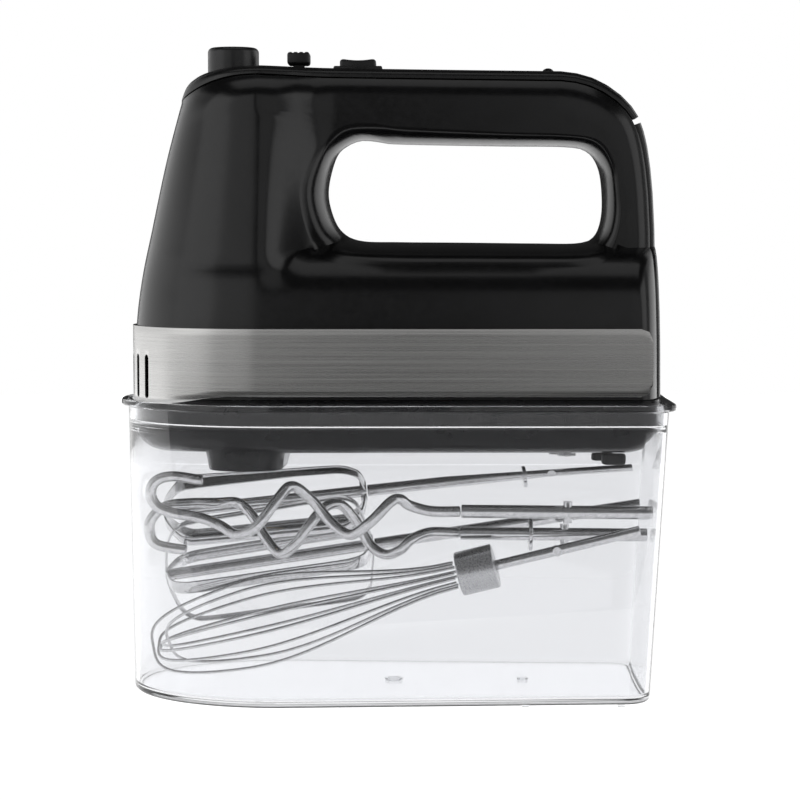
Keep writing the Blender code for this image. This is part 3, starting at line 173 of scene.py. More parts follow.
# Dough hooks: number, y of the shaft, y of the free end, height and end of the shaft, and the
# wire's centre line in side view, as (x, z)
HOOKS = (
    (1, -0.0315, -0.0205, 0.0746, 0.1012, [
        (0.0260, 0.0747), (0.0142, 0.0748), (0.0064, 0.0769), (0.0025, 0.0797), (-0.0014, 0.0787),
        (-0.0092, 0.0709), (-0.0170, 0.0656), (-0.0247, 0.0701), (-0.0325, 0.0791), (-0.0395, 0.0845),
        (-0.0449, 0.0799), (-0.0528, 0.0697), (-0.0606, 0.0656), (-0.0686, 0.0686), (-0.0760, 0.0712),
        (-0.0861, 0.0726), (-0.0925, 0.0752), (-0.0950, 0.0801), (-0.0932, 0.0852), (-0.0865, 0.0873),
        (-0.0746, 0.0859),
    ]),
    (2, -0.0170, -0.0140, 0.0640, 0.1010, [
        (0.0260, 0.0643), (0.0144, 0.0646), (0.0072, 0.0622), (0.0025, 0.0578), (-0.0034, 0.0555),
        (-0.0094, 0.0590), (-0.0153, 0.0690), (-0.0212, 0.0754), (-0.0271, 0.0748), (-0.0331, 0.0682),
        (-0.0386, 0.0606), (-0.0446, 0.0562), (-0.0505, 0.0614), (-0.0560, 0.0702), (-0.0615, 0.0755),
        (-0.0687, 0.0762), (-0.0807, 0.0758), (-0.0900, 0.0746), (-0.0955, 0.0698), (-0.0965, 0.0646),
        (-0.0935, 0.0592), (-0.0820, 0.0571),
    ]),
)
HOOK_PEAKS = (-0.0395, -0.0235)  # where each wire's swing passes through its axis
HOOK_ROD = 0.0026
HOOK_WIRE = 0.0021
HOOK_SHAFT_START = 0.0263
HOOK_SWING = 0.0055
HOOK_PITCH = 0.0450
WHISK_TIP = Vector((-0.0950, -0.0165, 0.0185))
WHISK_FERRULE = Vector((0.0327, -0.0260, 0.0510))
WHISK_END = Vector((0.0960, -0.0315, 0.0672))
WHISK_LOOPS = 4
WHISK_RADIUS = 0.0192
WHISK_NECK = 0.0050  # how far out the wires leave the ferrule
WHISK_ROD = 0.0020
WHISK_WIRE = 0.0006


# ---- the body's surface


def fill_grid(bm, rows):
    """Quads between neighbouring rows of points; every row has the same number of points."""
    verts = [[bm.verts.new(p) for p in row] for row in rows]
    for low, high in zip(verts, verts[1:]):
        for i in range(len(low) - 1):
            corners = [low[i], low[i + 1], high[i + 1], high[i]]
            bm.faces.new(corners)
    return verts


def face_outwards(bm, centre):
    """Welds an open skin and turns its faces so that on the whole they look away from centre."""
    bmesh.ops.remove_doubles(bm, verts=bm.verts, dist=1e-6)
    bmesh.ops.recalc_face_normals(bm, faces=bm.faces)
    outward = sum((f.calc_center_median() - Vector(centre)).dot(f.normal) * f.calc_area() for f in bm.faces)
    if outward < 0:
        bmesh.ops.reverse_faces(bm, faces=bm.faces)


def smoothstep(value, start, end):
    t = min(1.0, max(0.0, (value - start) / (end - start)))
    return t * t * (3 - 2 * t)


def curve_value(points, at):
    """A smooth curve through (place, value) points, read at one place."""
    xs = [p[0] for p in points]
    ys = [p[1] for p in points]
    at = min(max(at, xs[0]), xs[-1])
    i = min(max(int(np.searchsorted(xs, at)) - 1, 0), len(xs) - 2)
    slopes = [(ys[k + 1] - ys[k]) / (xs[k + 1] - xs[k]) for k in range(len(xs) - 1)]

    def tangent(k):
        if k == 0 or k == len(xs) - 1:
            return slopes[0 if k == 0 else -1]
        return (slopes[k - 1] + slopes[k]) / 2

    width = xs[i + 1] - xs[i]
    t = (at - xs[i]) / width
    m0, m1 = tangent(i) * width, tangent(i + 1) * width
    ease = t * t * (3 - 2 * t)
    return (1 - ease) * ys[i] + ease * ys[i + 1] + m0 * t * (1 - t) ** 2 - m1 * t * t * (1 - t)


def curve_point(p, t):
    """A place on a Catmull-Rom curve, between the second and third of four key points."""
    a = 2 * p[1] + (p[2] - p[0]) * t
    b = (2 * p[0] - 5 * p[1] + 4 * p[2] - p[3]) * t * t
    c = (3 * p[1] - p[0] - 3 * p[2] + p[3]) * t ** 3
    return 0.5 * (a + b + c)


def closed_curve(points, count):
    """Points along a closed smooth curve through a loop of key points."""
    made = []
    total = len(points)
    for k in range(count):
        place_on = k * total / count
        i = int(place_on)
        made.append(curve_point([np.array(points[(i + j) % total]) for j in (-1, 0, 1, 2)], place_on - i))
    return np.array(made)


def smooth_line(points, per_span):
    """Points along an open smooth curve through a list of key points."""
    made = []
    total = len(points) - 1
    for k in range(total * per_span + 1):
        i = min(k // per_span, total - 1)
        near = [np.array(points[min(max(i + j, 0), total)]) for j in (-1, 0, 1, 2)]
        made.append(tuple(curve_point(near, k / per_span - i)))
    return made


def quarter(steps):
    """The cosine and sine at even steps of a quarter turn."""
    turned_by = [math.pi / 2 * k / steps for k in range(steps + 1)]
    return [(math.cos(turn), math.sin(turn)) for turn in turned_by]


def low_excess(z):
    """How much wider than the handle the lower body is: full at the band, round at the shoulder."""
    full = BODY_HALF_WIDTH - HANDLE_HALF_WIDTH
    if z <= BAND_HIGH:
        return full
    share = min(1.0, (z - BAND_HIGH) / 0.030)
    return full * (1 - share ** 2.2) ** (1 / 2.2)


def column_excess(x, z):
    """How much wider than the handle the nose column is. It fades towards the finger opening."""
    full = curve_value(COLUMN_WIDTHS, z) - HANDLE_HALF_WIDTH
    return full * smoothstep(-x, 0.024, 0.0522) * smoothstep(z, BAND_HIGH, 0.175)


def half_width(x, z):
    """Half the width of the body at a place in its side view."""
    low, column = low_excess(z), column_excess(x, z)
    return HANDLE_HALF_WIDTH + (low ** 4 + column ** 4) ** 0.25


def side_frame(count):
    """The flat side face's outer edge: rows of (x, z, edge x, edge z, kind), anticlockwise."""
    rows = []
    corner_z = curve_value(TOP_LINE, BODY_NOSE) - TOP_EDGE
    for z in np.linspace(corner_z, BODY_BOTTOM, count)[1:]:
        rows.append((BODY_NOSE, z, BODY_NOSE, z, "nose"))
    for x in np.linspace(BODY_NOSE, REAR_LINE[-1][0] - REAR_EDGE, count)[1:-1]:
        rows.append((x, BODY_BOTTOM, x, BODY_BOTTOM, "low"))
    rear = np.array(REAR_LINE[::-1])
    lengths = np.concatenate([[0], np.cumsum(np.linalg.norm(np.diff(rear, axis=0), axis=1))])
    for s in np.linspace(0, lengths[-1], 3 * count):
        point = np.array([np.interp(s, lengths, rear[:, 0]), np.interp(s, lengths, rear[:, 1])])
        ahead = np.array([
            np.interp(s + 0.004, lengths, rear[:, 0]) - np.interp(s - 0.004, lengths, rear[:, 0]),
            np.interp(s + 0.004, lengths, rear[:, 1]) - np.interp(s - 0.004, lengths, rear[:, 1]),
        ])
        ahead /= np.linalg.norm(ahead)
        depth = REAR_EDGE + (TOP_EDGE - REAR_EDGE) * smoothstep(s / lengths[-1], 0.55, 1.0)
        inner = point + np.array([-ahead[1], ahead[0]]) * depth
        rows.append((inner[0], inner[1], point[0], point[1], "edge"))
    for x in np.linspace(REAR_LINE[0][0], BODY_NOSE, 2 * count)[1:]:
        z = curve_value(TOP_LINE, x)
        rows.append((x, z - TOP_EDGE, x, z, "edge"))
    return rows


def at_angles(loop, angles):
    """Where rays from the opening's middle cross a loop of points, read by angle."""
    loop = np.array([row[:4] for row in loop], float)
    seen = np.unwrap(np.arctan2(loop[:, 1] - RAY_CENTRE[1], loop[:, 0] - RAY_CENTRE[0]))
    order = np.argsort(seen)
    seen, loop = seen[order], loop[order]
    seen = np.concatenate([seen - 2 * math.pi, seen, seen + 2 * math.pi])
    loop = np.concatenate([loop] * 3)
    return [[np.interp(a, seen, loop[:, k]) for k in range(loop.shape[1])] for a in angles]


def ray_angles(counts):
    """Angles of the rays: evenly spread over each side, with a ray exactly at each corner."""
    rear_x, top_z = REAR_LINE[-1][0] - REAR_EDGE, curve_value(TOP_LINE, BODY_NOSE) - TOP_EDGE
    corners = [(BODY_NOSE, top_z), (BODY_NOSE, BODY_BOTTOM), (rear_x, BODY_BOTTOM)]
    turns = [math.atan2(z - RAY_CENTRE[1], x - RAY_CENTRE[0]) % (2 * math.pi) for x, z in corners]
    turns.append(turns[0] + 2 * math.pi)
    angles = []
    for start, end, count in zip(turns, turns[1:], counts):
        angles += list(np.linspace(start, end, count, endpoint=False))
    return angles


def edge_share(step, steps):
    """Along the rounded outer edge: (share of the way out, share of the width that is left)."""
    out = SEAM_SHARE * math.sin(step / steps * math.pi / 2)
    return out, (1 - out ** EDGE_POWER) ** (1 / EDGE_POWER)


def housing_rows(counts, rounding_steps, side_steps, edge_steps):
    """Rows of points on the outer skin of one half, one row for each ray from the opening."""
    angles = ray_angles(counts)
    inner = at_angles(closed_curve(OPENING, 240), angles)
    rounded = at_angles(closed_curve(ROUNDING, 240), angles)
    outer = at_angles(side_frame(40), angles)
    rows = []
    for i, (o, f, s) in enumerate(zip(inner, rounded, outer)):
        row = []
        width = half_width(f[0], f[1])
        for k in range(rounding_steps):
            turn = math.pi / 2 * k / rounding_steps
            out, across = (1 - math.cos(turn)), math.sin(turn)
            x, z = o[0] + (f[0] - o[0]) * out, o[1] + (f[1] - o[1]) * out
            row.append((x, -max(SPLIT, width * across), z))
        for k in range(side_steps + 1):
            t = k / side_steps
            x, z = f[0] + (s[0] - f[0]) * t, f[1] + (s[1] - f[1]) * t
            row.append((x, -half_width(x, z), z))
        tail = []
        if i >= counts[0] + counts[1] or i == 0:
            width = half_width(s[0], s[1])
            for k in range(1, edge_steps + 1):
                out, left = edge_share(k, edge_steps)
                x, z = s[0] + (s[2] - s[0]) * out, s[1] + (s[3] - s[1]) * out
                tail.append((x, -width * left, z))
        rows.append((row, tail))
    return rows


def seam_drop(z):
    """How far the seam under the cover dips at the very front of the nose, fading downwards."""
    return 0.0095 * smoothstep(z, 0.200, 0.2435)


def nose_row(start, steps):
    """One level of the nose, from the flat side round to the middle."""
    x0, y0, z0 = start
    tip_z = z0 - seam_drop(z0)
    reach = BODY_NOSE - curve_value(NOSE_LINE, tip_z)
    row = []
    for c, s in quarter(steps):
        row.append((x0 - reach * s, -max(SPLIT, -y0 * c), z0 - seam_drop(z0) * s ** NOSE_SWEEP))
    return row


def housing_skin(bm, counts, rounding_steps, side_steps, edge_steps, nose_steps):
    """The whole outer skin of the left half: round the opening, then the nose."""
    rows = housing_rows(counts, rounding_steps, side_steps, edge_steps)
    ring = [row for row, _ in rows]
    fill_grid(bm, ring + ring[:1])
    first_edge = counts[0] + counts[1]
    tails = [[row[-1]] + tail for row, tail in rows]
    fill_grid(bm, tails[first_edge:] + tails[:1])
    levels = [row[-1] for row, _ in rows[counts[0]::-1]]
    levels += rows[0][1]
    fill_grid(bm, [nose_row(level, nose_steps) for level in levels])
    face_outwards(bm, (0, 0, 0.180))


def plan_ring(tip, nose_length, half, rear, rear_half, corner, z, nose_steps, corner_steps):
    """A closed plan outline: a round nose, straight sides and a flat rear with round corners."""
    side = [(tip + nose_length * (1 - c), -half * s) for c, s in quarter(nose_steps)]
    for c, s in quarter(corner_steps):
        side.append((rear - corner + corner * s, -(rear_half - corner + corner * c)))
    mirrored = [(x, -y) for x, y in side[:0:-1]]
    return [(x, y, z) for x, y in side + mirrored]


def case_ring(z, inset, **fine):
    """The case's outer wall at one height, moved inwards by inset."""
    t = z / RIM_Z
    tip = -0.1044 - 0.0017 * t + inset
    rear = 0.1001 + 0.0060 * t - inset
    half = 0.0475 + 0.0030 * t - inset
    rear_half = 0.0405 + 0.0085 * t - inset
    corner = max(0.003, 0.010 - inset)
    return plan_ring(tip, CASE_NOSE_LENGTH - inset, half, rear, rear_half, corner, z, **fine)


def pan_ring(z, inset, **fine):
    """The base pan's outline at one height, moved inwards by inset."""
    return plan_ring(
        -0.1030 + inset, 0.0508 - inset, 0.0452 - inset, 0.1028 - inset, 0.0452 - inset,
        max(0.003, 0.012 - inset * 0.6), z, **fine,
    )


def stadium_ring(z, half_x, half_y, steps):
    """A slot-shaped outline round both spindles: straight sides, round ends."""
    ends = []
    for k in range(steps + 1):
        turn = math.pi * k / steps
        ends.append((half_x * math.cos(turn), half_y - half_x + half_x * math.sin(turn)))
    loop = ends + [(-x, -y) for x, y in ends]
    return [(SPINDLE_X + x, y, z) for x, y in loop]


def band_outline(steps):
    """The trim band's path in plan, from the left rear end round the nose to the right one."""
    straight = [BAND_REAR, BAND_REAR - 0.0016, BAND_REAR - BAND_CORNER, 0.060, 0.010, -0.030]
    left = [(x, -BODY_HALF_WIDTH, (-0, -1)) for x in straight]
    reach = BODY_NOSE - curve_value(NOSE_LINE, 0.133)
    for c, s in quarter(steps):
        normal = Vector((-s / reach, -c / BODY_HALF_WIDTH)).normalized()
        left.append((BODY_NOSE - reach * s, -BODY_HALF_WIDTH * c, normal))
    return left + [(x, -y, (n[0], -n[1])) for x, y, n in left[-2::-1]]


def cover_half_width(x):
    """Half the width of the cover strip at its seam."""
    z = curve_value(TOP_LINE, max(x, BODY_NOSE)) - TOP_EDGE
    return half_width(max(x, BODY_NOSE), z) * SEAM_LEFT


def nose_cap_stations(steps):
    """Cross-sections of the cover over the nose, from its tip back: (seam x, seam z, top z, width)."""
    seam_z = curve_value(TOP_LINE, BODY_NOSE) - TOP_EDGE * (1 - SEAM_SHARE)
    tip_z = seam_z - seam_drop(seam_z)
    reach = BODY_NOSE - curve_value(NOSE_LINE, tip_z)
    full = cover_half_width(BODY_NOSE)
    stations = []
    for k in range(steps):
        turn = math.pi / 2 * (1 - k / steps)
        share = math.sin(turn)
        x = BODY_NOSE - reach * share
        z = seam_z - seam_drop(seam_z) * share ** NOSE_SWEEP
        crown = curve_value(CAP_LINE, share)
        stations.append(((x, z), (x, crown), full * math.cos(turn)))
    return stations


def strip_stations(count):
    """Cross-sections of the cover strip behind the nose, over the handle and down the rear."""
    rows = [row for row in side_frame(40) if row[4] == "edge"][::-1]
    picked = [rows[int(i)] for i in np.linspace(0, len(rows) - 1, count)]
    stations = []
    for sx, sz, ex, ez, _ in picked:
        seam = (sx + (ex - sx) * SEAM_SHARE, sz + (ez - sz) * SEAM_SHARE)
        stations.append((seam, (ex, ez), half_width(sx, sz) * SEAM_LEFT))
    return stations


def section_points(station, across, lift, inset):
    """One cross-section of a cover, from the left seam over the middle to the right seam."""
    seam, crown, width = station
    width = max(0.0, width - inset)
    points = []
    for k in range(-across, across + 1):
        turn = math.pi / 2 * k / across
        share = math.sin(turn)
        up = 0.08 + 0.92 * max(0.0, 1 - abs(share) ** 3) ** (1 / 3)
        x = seam[0] + (crown[0] - seam[0]) * up
        z = seam[1] + (crown[1] - seam[1]) * up + lift
        points.append((x, width * share, z))
    return points


def frame_along(start, end):
    """Matrix whose X runs from start to end, with Z as near to upright as it can be."""
    x = (Vector(end) - Vector(start)).normalized()
    y = Vector((0, 0, 1)).cross(x).normalized()
    z = x.cross(y)
    made = Matrix((x, y, z)).transposed().to_4x4()
    made.translation = Vector(start)
    return made


def strip_loop(length, radius):
    """One strip's side view, from the hub over the tip and back to the hub, as (along, out)."""
    half = [
        (0.0014, 0.0032), (0.0030, 0.0100), (0.0052, radius - 0.0040), (0.0100, radius - 0.0006),
        (0.0180, radius), (length * 0.5, radius * 0.98), (length - 0.0160, radius * 0.96),
        (length - 0.0080, radius * 0.90), (length - 0.0030, radius - 0.0070), (length, 0.0040),
    ]
    return half + [(x, -out) for x, out in half[::-1]]


def hook_path(y, end_y, swing_start, points, per_span):
    """The hook's wire: it winds about its axis between the shaft and the last bend."""
    made = []
    for x, z in smooth_line(points, per_span):
        fade = smoothstep(-x, -0.018, 0.0) * smoothstep(x, -0.080, -0.062)
        turn = 2 * math.pi * (x - swing_start) / HOOK_PITCH
        inwards = (end_y - y) * smoothstep(-x, 0.055, 0.088)
        made.append((x, y + inwards + HOOK_SWING * fade * math.sin(turn), z))
    return made


# ---- mesh helpers


def mesh_object(name, fill):
    """A new object whose mesh is filled in by fill(bm)."""
    bm = bmesh.new()
    fill(bm)
    bmesh.ops.remove_doubles(bm, verts=bm.verts, dist=1e-6)
    mesh = bpy.data.meshes.new(name)
    bm.to_mesh(mesh)
    bm.free()
    made = bpy.data.objects.new(name, mesh)
    bpy.context.scene.collection.objects.link(made)
    return made


def skin(name, rows, centre):
    """An open surface through rows of points, looking away from centre."""

    def fill(bm):
        fill_grid(bm, rows)
        face_outwards(bm, centre)

    return mesh_object(name, fill)


def loft(name, rings, capped=True):
    """A solid through closed rings of points."""

    def fill(bm):
        verts = [[bm.verts.new(p) for p in ring] for ring in rings]
        for low, high in zip(verts, verts[1:]):
            for i in range(len(low)):
                j = (i + 1) % len(low)
                bm.faces.new([low[i], low[j], high[j], high[i]])
        if capped:
            bm.faces.new(list(reversed(verts[0])))
            bm.faces.new(verts[-1])
        bmesh.ops.recalc_face_normals(bm, faces=bm.faces)

    return mesh_object(name, fill)


def box(name, low, high, bevel=0.0, segments=3):
    low, high = Vector(low), Vector(high)
    made = mesh_object(name, lambda bm: bmesh.ops.create_cube(bm, size=1))
    made.data.transform(Matrix.Translation((low + high) / 2) @ Matrix.Diagonal((*(high - low), 1)))
    if bevel:
        round_off = made.modifiers.new("edges", "BEVEL")
        round_off.width = bevel
        round_off.segments = segments
    return made


def slab(name, x, half_x, half_y, low, high, bevel=0.0, segments=3):
    """A box across the middle plane: its middle in x, half its length and width, its heights."""
    return box(name, (x - half_x, -half_y, low), (x + half_x, half_y, high), bevel, segments)


def cylinder(name, radius, start, end, sides=64):
    start, end = Vector(start), Vector(end)
    length = (end - start).length

    def fill(bm):
        bmesh.ops.create_cone(
            bm, cap_ends=True, segments=sides, radius1=radius, radius2=radius, depth=length
        )

    made = mesh_object(name, fill)
    turn = (end - start).to_track_quat("Z", "Y").to_matrix().to_4x4()
    made.data.transform(Matrix.Translation((start + end) / 2) @ turn)
    return made


def turned(name, profile, location, axis=(0, 0, 1), steps=72, ring=False):
    """A profile of (radius, height) points spun about an axis: a solid, or a ring if ring is set."""
    rings = []
    for r, h in profile + (profile[:1] if ring else []):
        r = max(r, 1e-7)
        rings.append([(r * math.cos(t), r * math.sin(t), h) for t in turns(steps)])
    made = loft(name, rings, capped=not ring)
    made.data.transform(
        Matrix.Translation(location) @ Vector(axis).to_track_quat("Z", "Y").to_matrix().to_4x4()
    )
    return made


def turns(count):
    return [2 * math.pi * i / count for i in range(count)]


def tube(name, points, radius, sides=16):
    """A round wire along a list of points, with slightly domed ends."""
    points = [Vector(p) for p in points]
    rings, side = [], None
    for i, point in enumerate(points):
        ahead = (points[min(i + 1, len(points) - 1)] - points[max(i - 1, 0)]).normalized()
        side = ahead.orthogonal() if side is None else side - ahead * side.dot(ahead)
        side.normalize()
        up = ahead.cross(side)
        rings.append([point + (side * math.cos(t) + up * math.sin(t)) * radius for t in turns(sides)])
    domes = []
    for end, inwards in ((0, 1), (-1, -1)):
        way = (points[end + inwards] - points[end]).normalized() * radius
        dome = []
        for share, depth in ((0.6, 0.0), (0.85, 0.08), (0.97, 0.2), (1.0, 0.35)):
            dome.append([points[end] + way * depth + (p - points[end]) * share for p in rings[end]])
        domes.append(dome)
    return loft(name, domes[0] + rings[1:-1] + domes[1][::-1])


def cut(target, cutter, operation="DIFFERENCE"):
    """Cuts or joins a shape into target, and removes the shape."""
    change = target.modifiers.new("cut", "BOOLEAN")
    change.operation = operation
    change.object = cutter
    bake(target)
    bpy.data.objects.remove(cutter)
    return target


def bake(thing):
    """Applies an object's modifiers."""
    bpy.context.view_layer.update()
    graph = bpy.context.evaluated_depsgraph_get()
    mesh = bpy.data.meshes.new_from_object(thing.evaluated_get(graph))
    thing.modifiers.clear()
    thing.data = mesh
    return thing


def thicken(thing, thickness):
    wall = thing.modifiers.new("wall", "SOLIDIFY")
    wall.thickness = thickness
    wall.offset = -1
    wall.use_even_offset = False
    return bake(thing)


def show(thing, body, slot, *nodes, sharp=30):
    """Finishes a piece: smooth shading, its slot's material, its body, and the CAD nodes it stands for."""
    bake(thing)
    thing.data.shade_smooth()
    thing.data.set_sharp_from_angle(angle=math.radians(sharp))
    thing.data.materials.clear()
    thing.data.materials.append(LOOKS[slot])
    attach(thing, body)
    if nodes:
        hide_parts(*nodes)
    return thing


# ---- materials


def new_material(name):
    """A material, its nodes, its links and its Principled shader."""
    made = bpy.data.materials.new(name)
    made.use_nodes = True
    nodes = made.node_tree.nodes
    return made, nodes, made.node_tree.links, nodes["Principled BSDF"]


def coordinates(nodes, links, stretch=(1, 1, 1)):
    """Object coordinates, stretched, in metres."""
    place = nodes.new("ShaderNodeTexCoord")
    scaled = nodes.new("ShaderNodeMapping")
    scaled.inputs["Scale"].default_value = stretch
    links.new(place.outputs["Object"], scaled.inputs["Vector"])
    return scaled.outputs["Vector"]


def noise(nodes, links, vector, scale, detail=3.0):
    made = nodes.new("ShaderNodeTexNoise")
    made.inputs["Scale"].default_value = scale
    made.inputs["Detail"].default_value = detail
    links.new(vector, made.inputs["Vector"])
    return made.outputs["Fac"]


def remap(nodes, links, value, low, high, start=0.3, end=0.7):
    """Spreads a noise value over low to high."""
    made = nodes.new("ShaderNodeMapRange")
    made.inputs["From Min"].default_value = start
    made.inputs["From Max"].default_value = end
    made.inputs["To Min"].default_value = low
    made.inputs["To Max"].default_value = high
    links.new(value, made.inputs["Value"])
    return made.outputs["Result"]


def tint(nodes, links, value, dark, light):
    """Two colours mixed by a value."""
    ramp = nodes.new("ShaderNodeValToRGB")
    ramp.color_ramp.elements[0].position = 0.3
    ramp.color_ramp.elements[1].position = 0.7
    ramp.color_ramp.elements[0].color = (*dark, 1)
    ramp.color_ramp.elements[1].color = (*light, 1)
    links.new(value, ramp.inputs["Fac"])
    return ramp.outputs["Color"]


def raised(nodes, links, value, shader, height, strength=1.0):
    bump = nodes.new("ShaderNodeBump")
    bump.inputs["Distance"].default_value = height
    bump.inputs["Strength"].default_value = strength
    links.new(value, bump.inputs["Height"])
    links.new(bump.outputs["Normal"], shader.inputs["Normal"])


def plastic(name, dark, light, rough, grain=0.0, grain_scale=1500, wave=0.0, shine=0.5):
    """Moulded plastic: slight mottling, a fine surface grain and, on gloss, a faint wave."""
    made, nodes, links, shader = new_material(name)
    vector = coordinates(nodes, links)
    mottle = noise(nodes, links, vector, 90)
    links.new(tint(nodes, links, mottle, dark, light), shader.inputs["Base Color"])
    haze = noise(nodes, links, vector, 420, 5)
    links.new(remap(nodes, links, haze, rough[0], rough[1]), shader.inputs["Roughness"])
    shader.inputs["Specular IOR Level"].default_value = shine
    if grain:
        raised(nodes, links, noise(nodes, links, vector, grain_scale, 4), shader, grain, 0.6)
    elif wave:
        raised(nodes, links, noise(nodes, links, vector, 160, 1), shader, wave, 0.5)
    return made


def metal(name, dark, light, rough, stretch=(1, 1, 1), scale=900, height=0.0, anisotropic=0.0):
    """Metal whose grain is noise stretched along the surface."""
    made, nodes, links, shader = new_material(name)
    vector = coordinates(nodes, links, stretch)
    grain = noise(nodes, links, vector, scale, 4)
    shader.inputs["Metallic"].default_value = 1.0
    shader.inputs["Anisotropic"].default_value = anisotropic
    links.new(tint(nodes, links, grain, dark, light), shader.inputs["Base Color"])
    links.new(remap(nodes, links, grain, rough[0], rough[1]), shader.inputs["Roughness"])
    if height:
        raised(nodes, links, grain, shader, height, 0.5)
    return made


def clear_plastic(name):
    """Clear moulded polystyrene: faint flow marks, and light from lamps goes through it."""
    made, nodes, links, shader = new_material(name)
    shader.inputs["Base Color"].default_value = (0.895, 0.90, 0.915, 1)
    shader.inputs["Transmission Weight"].default_value = 0.99
    shader.inputs["IOR"].default_value = 1.47
    vector = coordinates(nodes, links)
    smear = noise(nodes, links, vector, 130, 3)
    links.new(remap(nodes, links, smear, 0.0, 0.035), shader.inputs["Roughness"])
    raised(nodes, links, noise(nodes, links, vector, 45, 1), shader, 0.00002, 0.3)
    output = nodes["Material Output"]
    path = nodes.new("ShaderNodeLightPath")
    through = nodes.new("ShaderNodeBsdfTransparent")
    through.inputs["Color"].default_value = (0.93, 0.935, 0.945, 1)
    mixed = nodes.new("ShaderNodeMixShader")
    links.new(path.outputs["Is Shadow Ray"], mixed.inputs["Fac"])
    links.new(shader.outputs["BSDF"], mixed.inputs[1])
    links.new(through.outputs["BSDF"], mixed.inputs[2])
    links.new(mixed.outputs["Shader"], output.inputs["Surface"])
    return made


def banded(name, metallic, scale, distortion, dark, light, rough, height):
    """Metal in fine bands: enamelled wire laid side by side, or thin sheets stacked along X."""
    made, nodes, links, shader = new_material(name)
    shader.inputs["Metallic"].default_value = metallic
    vector = coordinates(nodes, links)
    wave = nodes.new("ShaderNodeTexWave")
    wave.inputs["Scale"].default_value = scale
    wave.inputs["Distortion"].default_value = distortion
    links.new(vector, wave.inputs["Vector"])
    bands = wave.outputs["Fac"]
    links.new(tint(nodes, links, bands, dark, light), shader.inputs["Base Color"])
    links.new(remap(nodes, links, bands, rough[0], rough[1]), shader.inputs["Roughness"])
    raised(nodes, links, bands, shader, height)
    return made


LOOKS = {
    "clear_plastic": clear_plastic("clear_plastic"),
    "gloss_black": plastic("gloss_black", (0.003, 0.003, 0.0032), (0.005, 0.005, 0.0055), (0.19, 0.25),
                           wave=0.00001),
    "cover_black": plastic("cover_black", (0.004, 0.004, 0.0042), (0.006, 0.006, 0.0065), (0.24, 0.32),
                           wave=0.00001),
    "satin_black": plastic("satin_black", (0.004, 0.004, 0.0045), (0.006, 0.006, 0.0065), (0.12, 0.18),
                           wave=0.00001, shine=0.2),
    "rubber_black": plastic("rubber_black", (0.012, 0.012, 0.012), (0.02, 0.02, 0.02), (0.6, 0.8),
                            grain=0.00006, grain_scale=2000),
    "control_black": plastic("control_black", (0.006, 0.006, 0.0065), (0.010, 0.010, 0.011), (0.26, 0.36),
                             grain=0.00002, grain_scale=3000),
    "brushed_steel": metal("brushed_steel", (0.50, 0.497, 0.49), (0.66, 0.655, 0.645), (0.22, 0.34),
                           stretch=(9, 9, 5200), scale=1, height=0.00001, anisotropic=0.3),
    "bright_steel": metal("bright_steel", (0.56, 0.56, 0.565), (0.68, 0.68, 0.685), (0.08, 0.15), scale=700,
                          height=0.000005),
    "machined_steel": metal("machined_steel", (0.42, 0.42, 0.43), (0.62, 0.62, 0.63), (0.22, 0.36),
                            scale=2400, height=0.00002),
    "laminations": banded("laminations", 0.8, 620, 0.0, (0.09, 0.09, 0.1), (0.3, 0.3, 0.31), (0.4, 0.6),
                          0.0001),
    "copper": banded("copper", 0.9, 380, 1.5, (0.25, 0.08, 0.03), (0.62, 0.27, 0.11), (0.25, 0.45), 0.0002),
    "brass": metal("brass", (0.5, 0.34, 0.12), (0.68, 0.5, 0.22), (0.3, 0.45), scale=1800, height=0.00002),
    "nylon": plastic("nylon", (0.66, 0.63, 0.56), (0.76, 0.73, 0.66), (0.38, 0.5), grain=0.00002),
    "switch_grey": plastic("switch_grey", (0.12, 0.12, 0.13), (0.18, 0.18, 0.19), (0.4, 0.52), grain=0.00002),
    "zinc": metal("zinc", (0.34, 0.34, 0.35), (0.5, 0.5, 0.51), (0.42, 0.6), scale=1500, height=0.00005),
    "carbon": plastic("carbon", (0.02, 0.02, 0.021), (0.035, 0.035, 0.036), (0.5, 0.65), grain=0.00004),
}


# ---- camera, lights and floor


def aim(thing, target):
    """Turns a lamp or camera to look at a place."""
    thing.rotation_euler = (Vector(target) - thing.location).to_track_quat("-Z", "Y").to_euler()
    return thing


def make_camera():
    lens = bpy.data.cameras.new("camera")
    lens.lens = 104.6
    lens.sensor_width = 36
    lens.clip_start = 0.01
    camera = bpy.data.objects.new("camera", lens)
    camera.location = (0.0025, -0.930, 0.1857)
    camera.rotation_euler = (math.radians(90 - 4.305), 0, 0)
    bpy.context.scene.collection.objects.link(camera)
    bpy.context.scene.camera = camera


def softbox(name, place, target, size, radiance):
    lamp = bpy.data.lights.new(name, "AREA")
    lamp.shape = "RECTANGLE"
    lamp.size, lamp.size_y = size
    lamp.energy = radiance * math.pi * size[0] * size[1]
    made = bpy.data.objects.new(name, lamp)
    made.location = place
    bpy.context.scene.collection.objects.link(made)
    return aim(made, target)


def grey_card(name, low, high, glow):
    """A grey card that only reflections see, as a studio sets round a glossy object."""
    card = box(name, low, high)
    look, _, _, shader = new_material(name)
    shader.inputs["Base Color"].default_value = (0, 0, 0, 1)
    shader.inputs["Specular IOR Level"].default_value = 0.0
    shader.inputs["Emission Color"].default_value = (1, 1, 1, 1)
    shader.inputs["Emission Strength"].default_value = glow
    card.data.materials.append(look)
    for ray in ("camera", "diffuse", "transmission", "shadow", "volume_scatter"):
        setattr(card, "visible_" + ray, False)


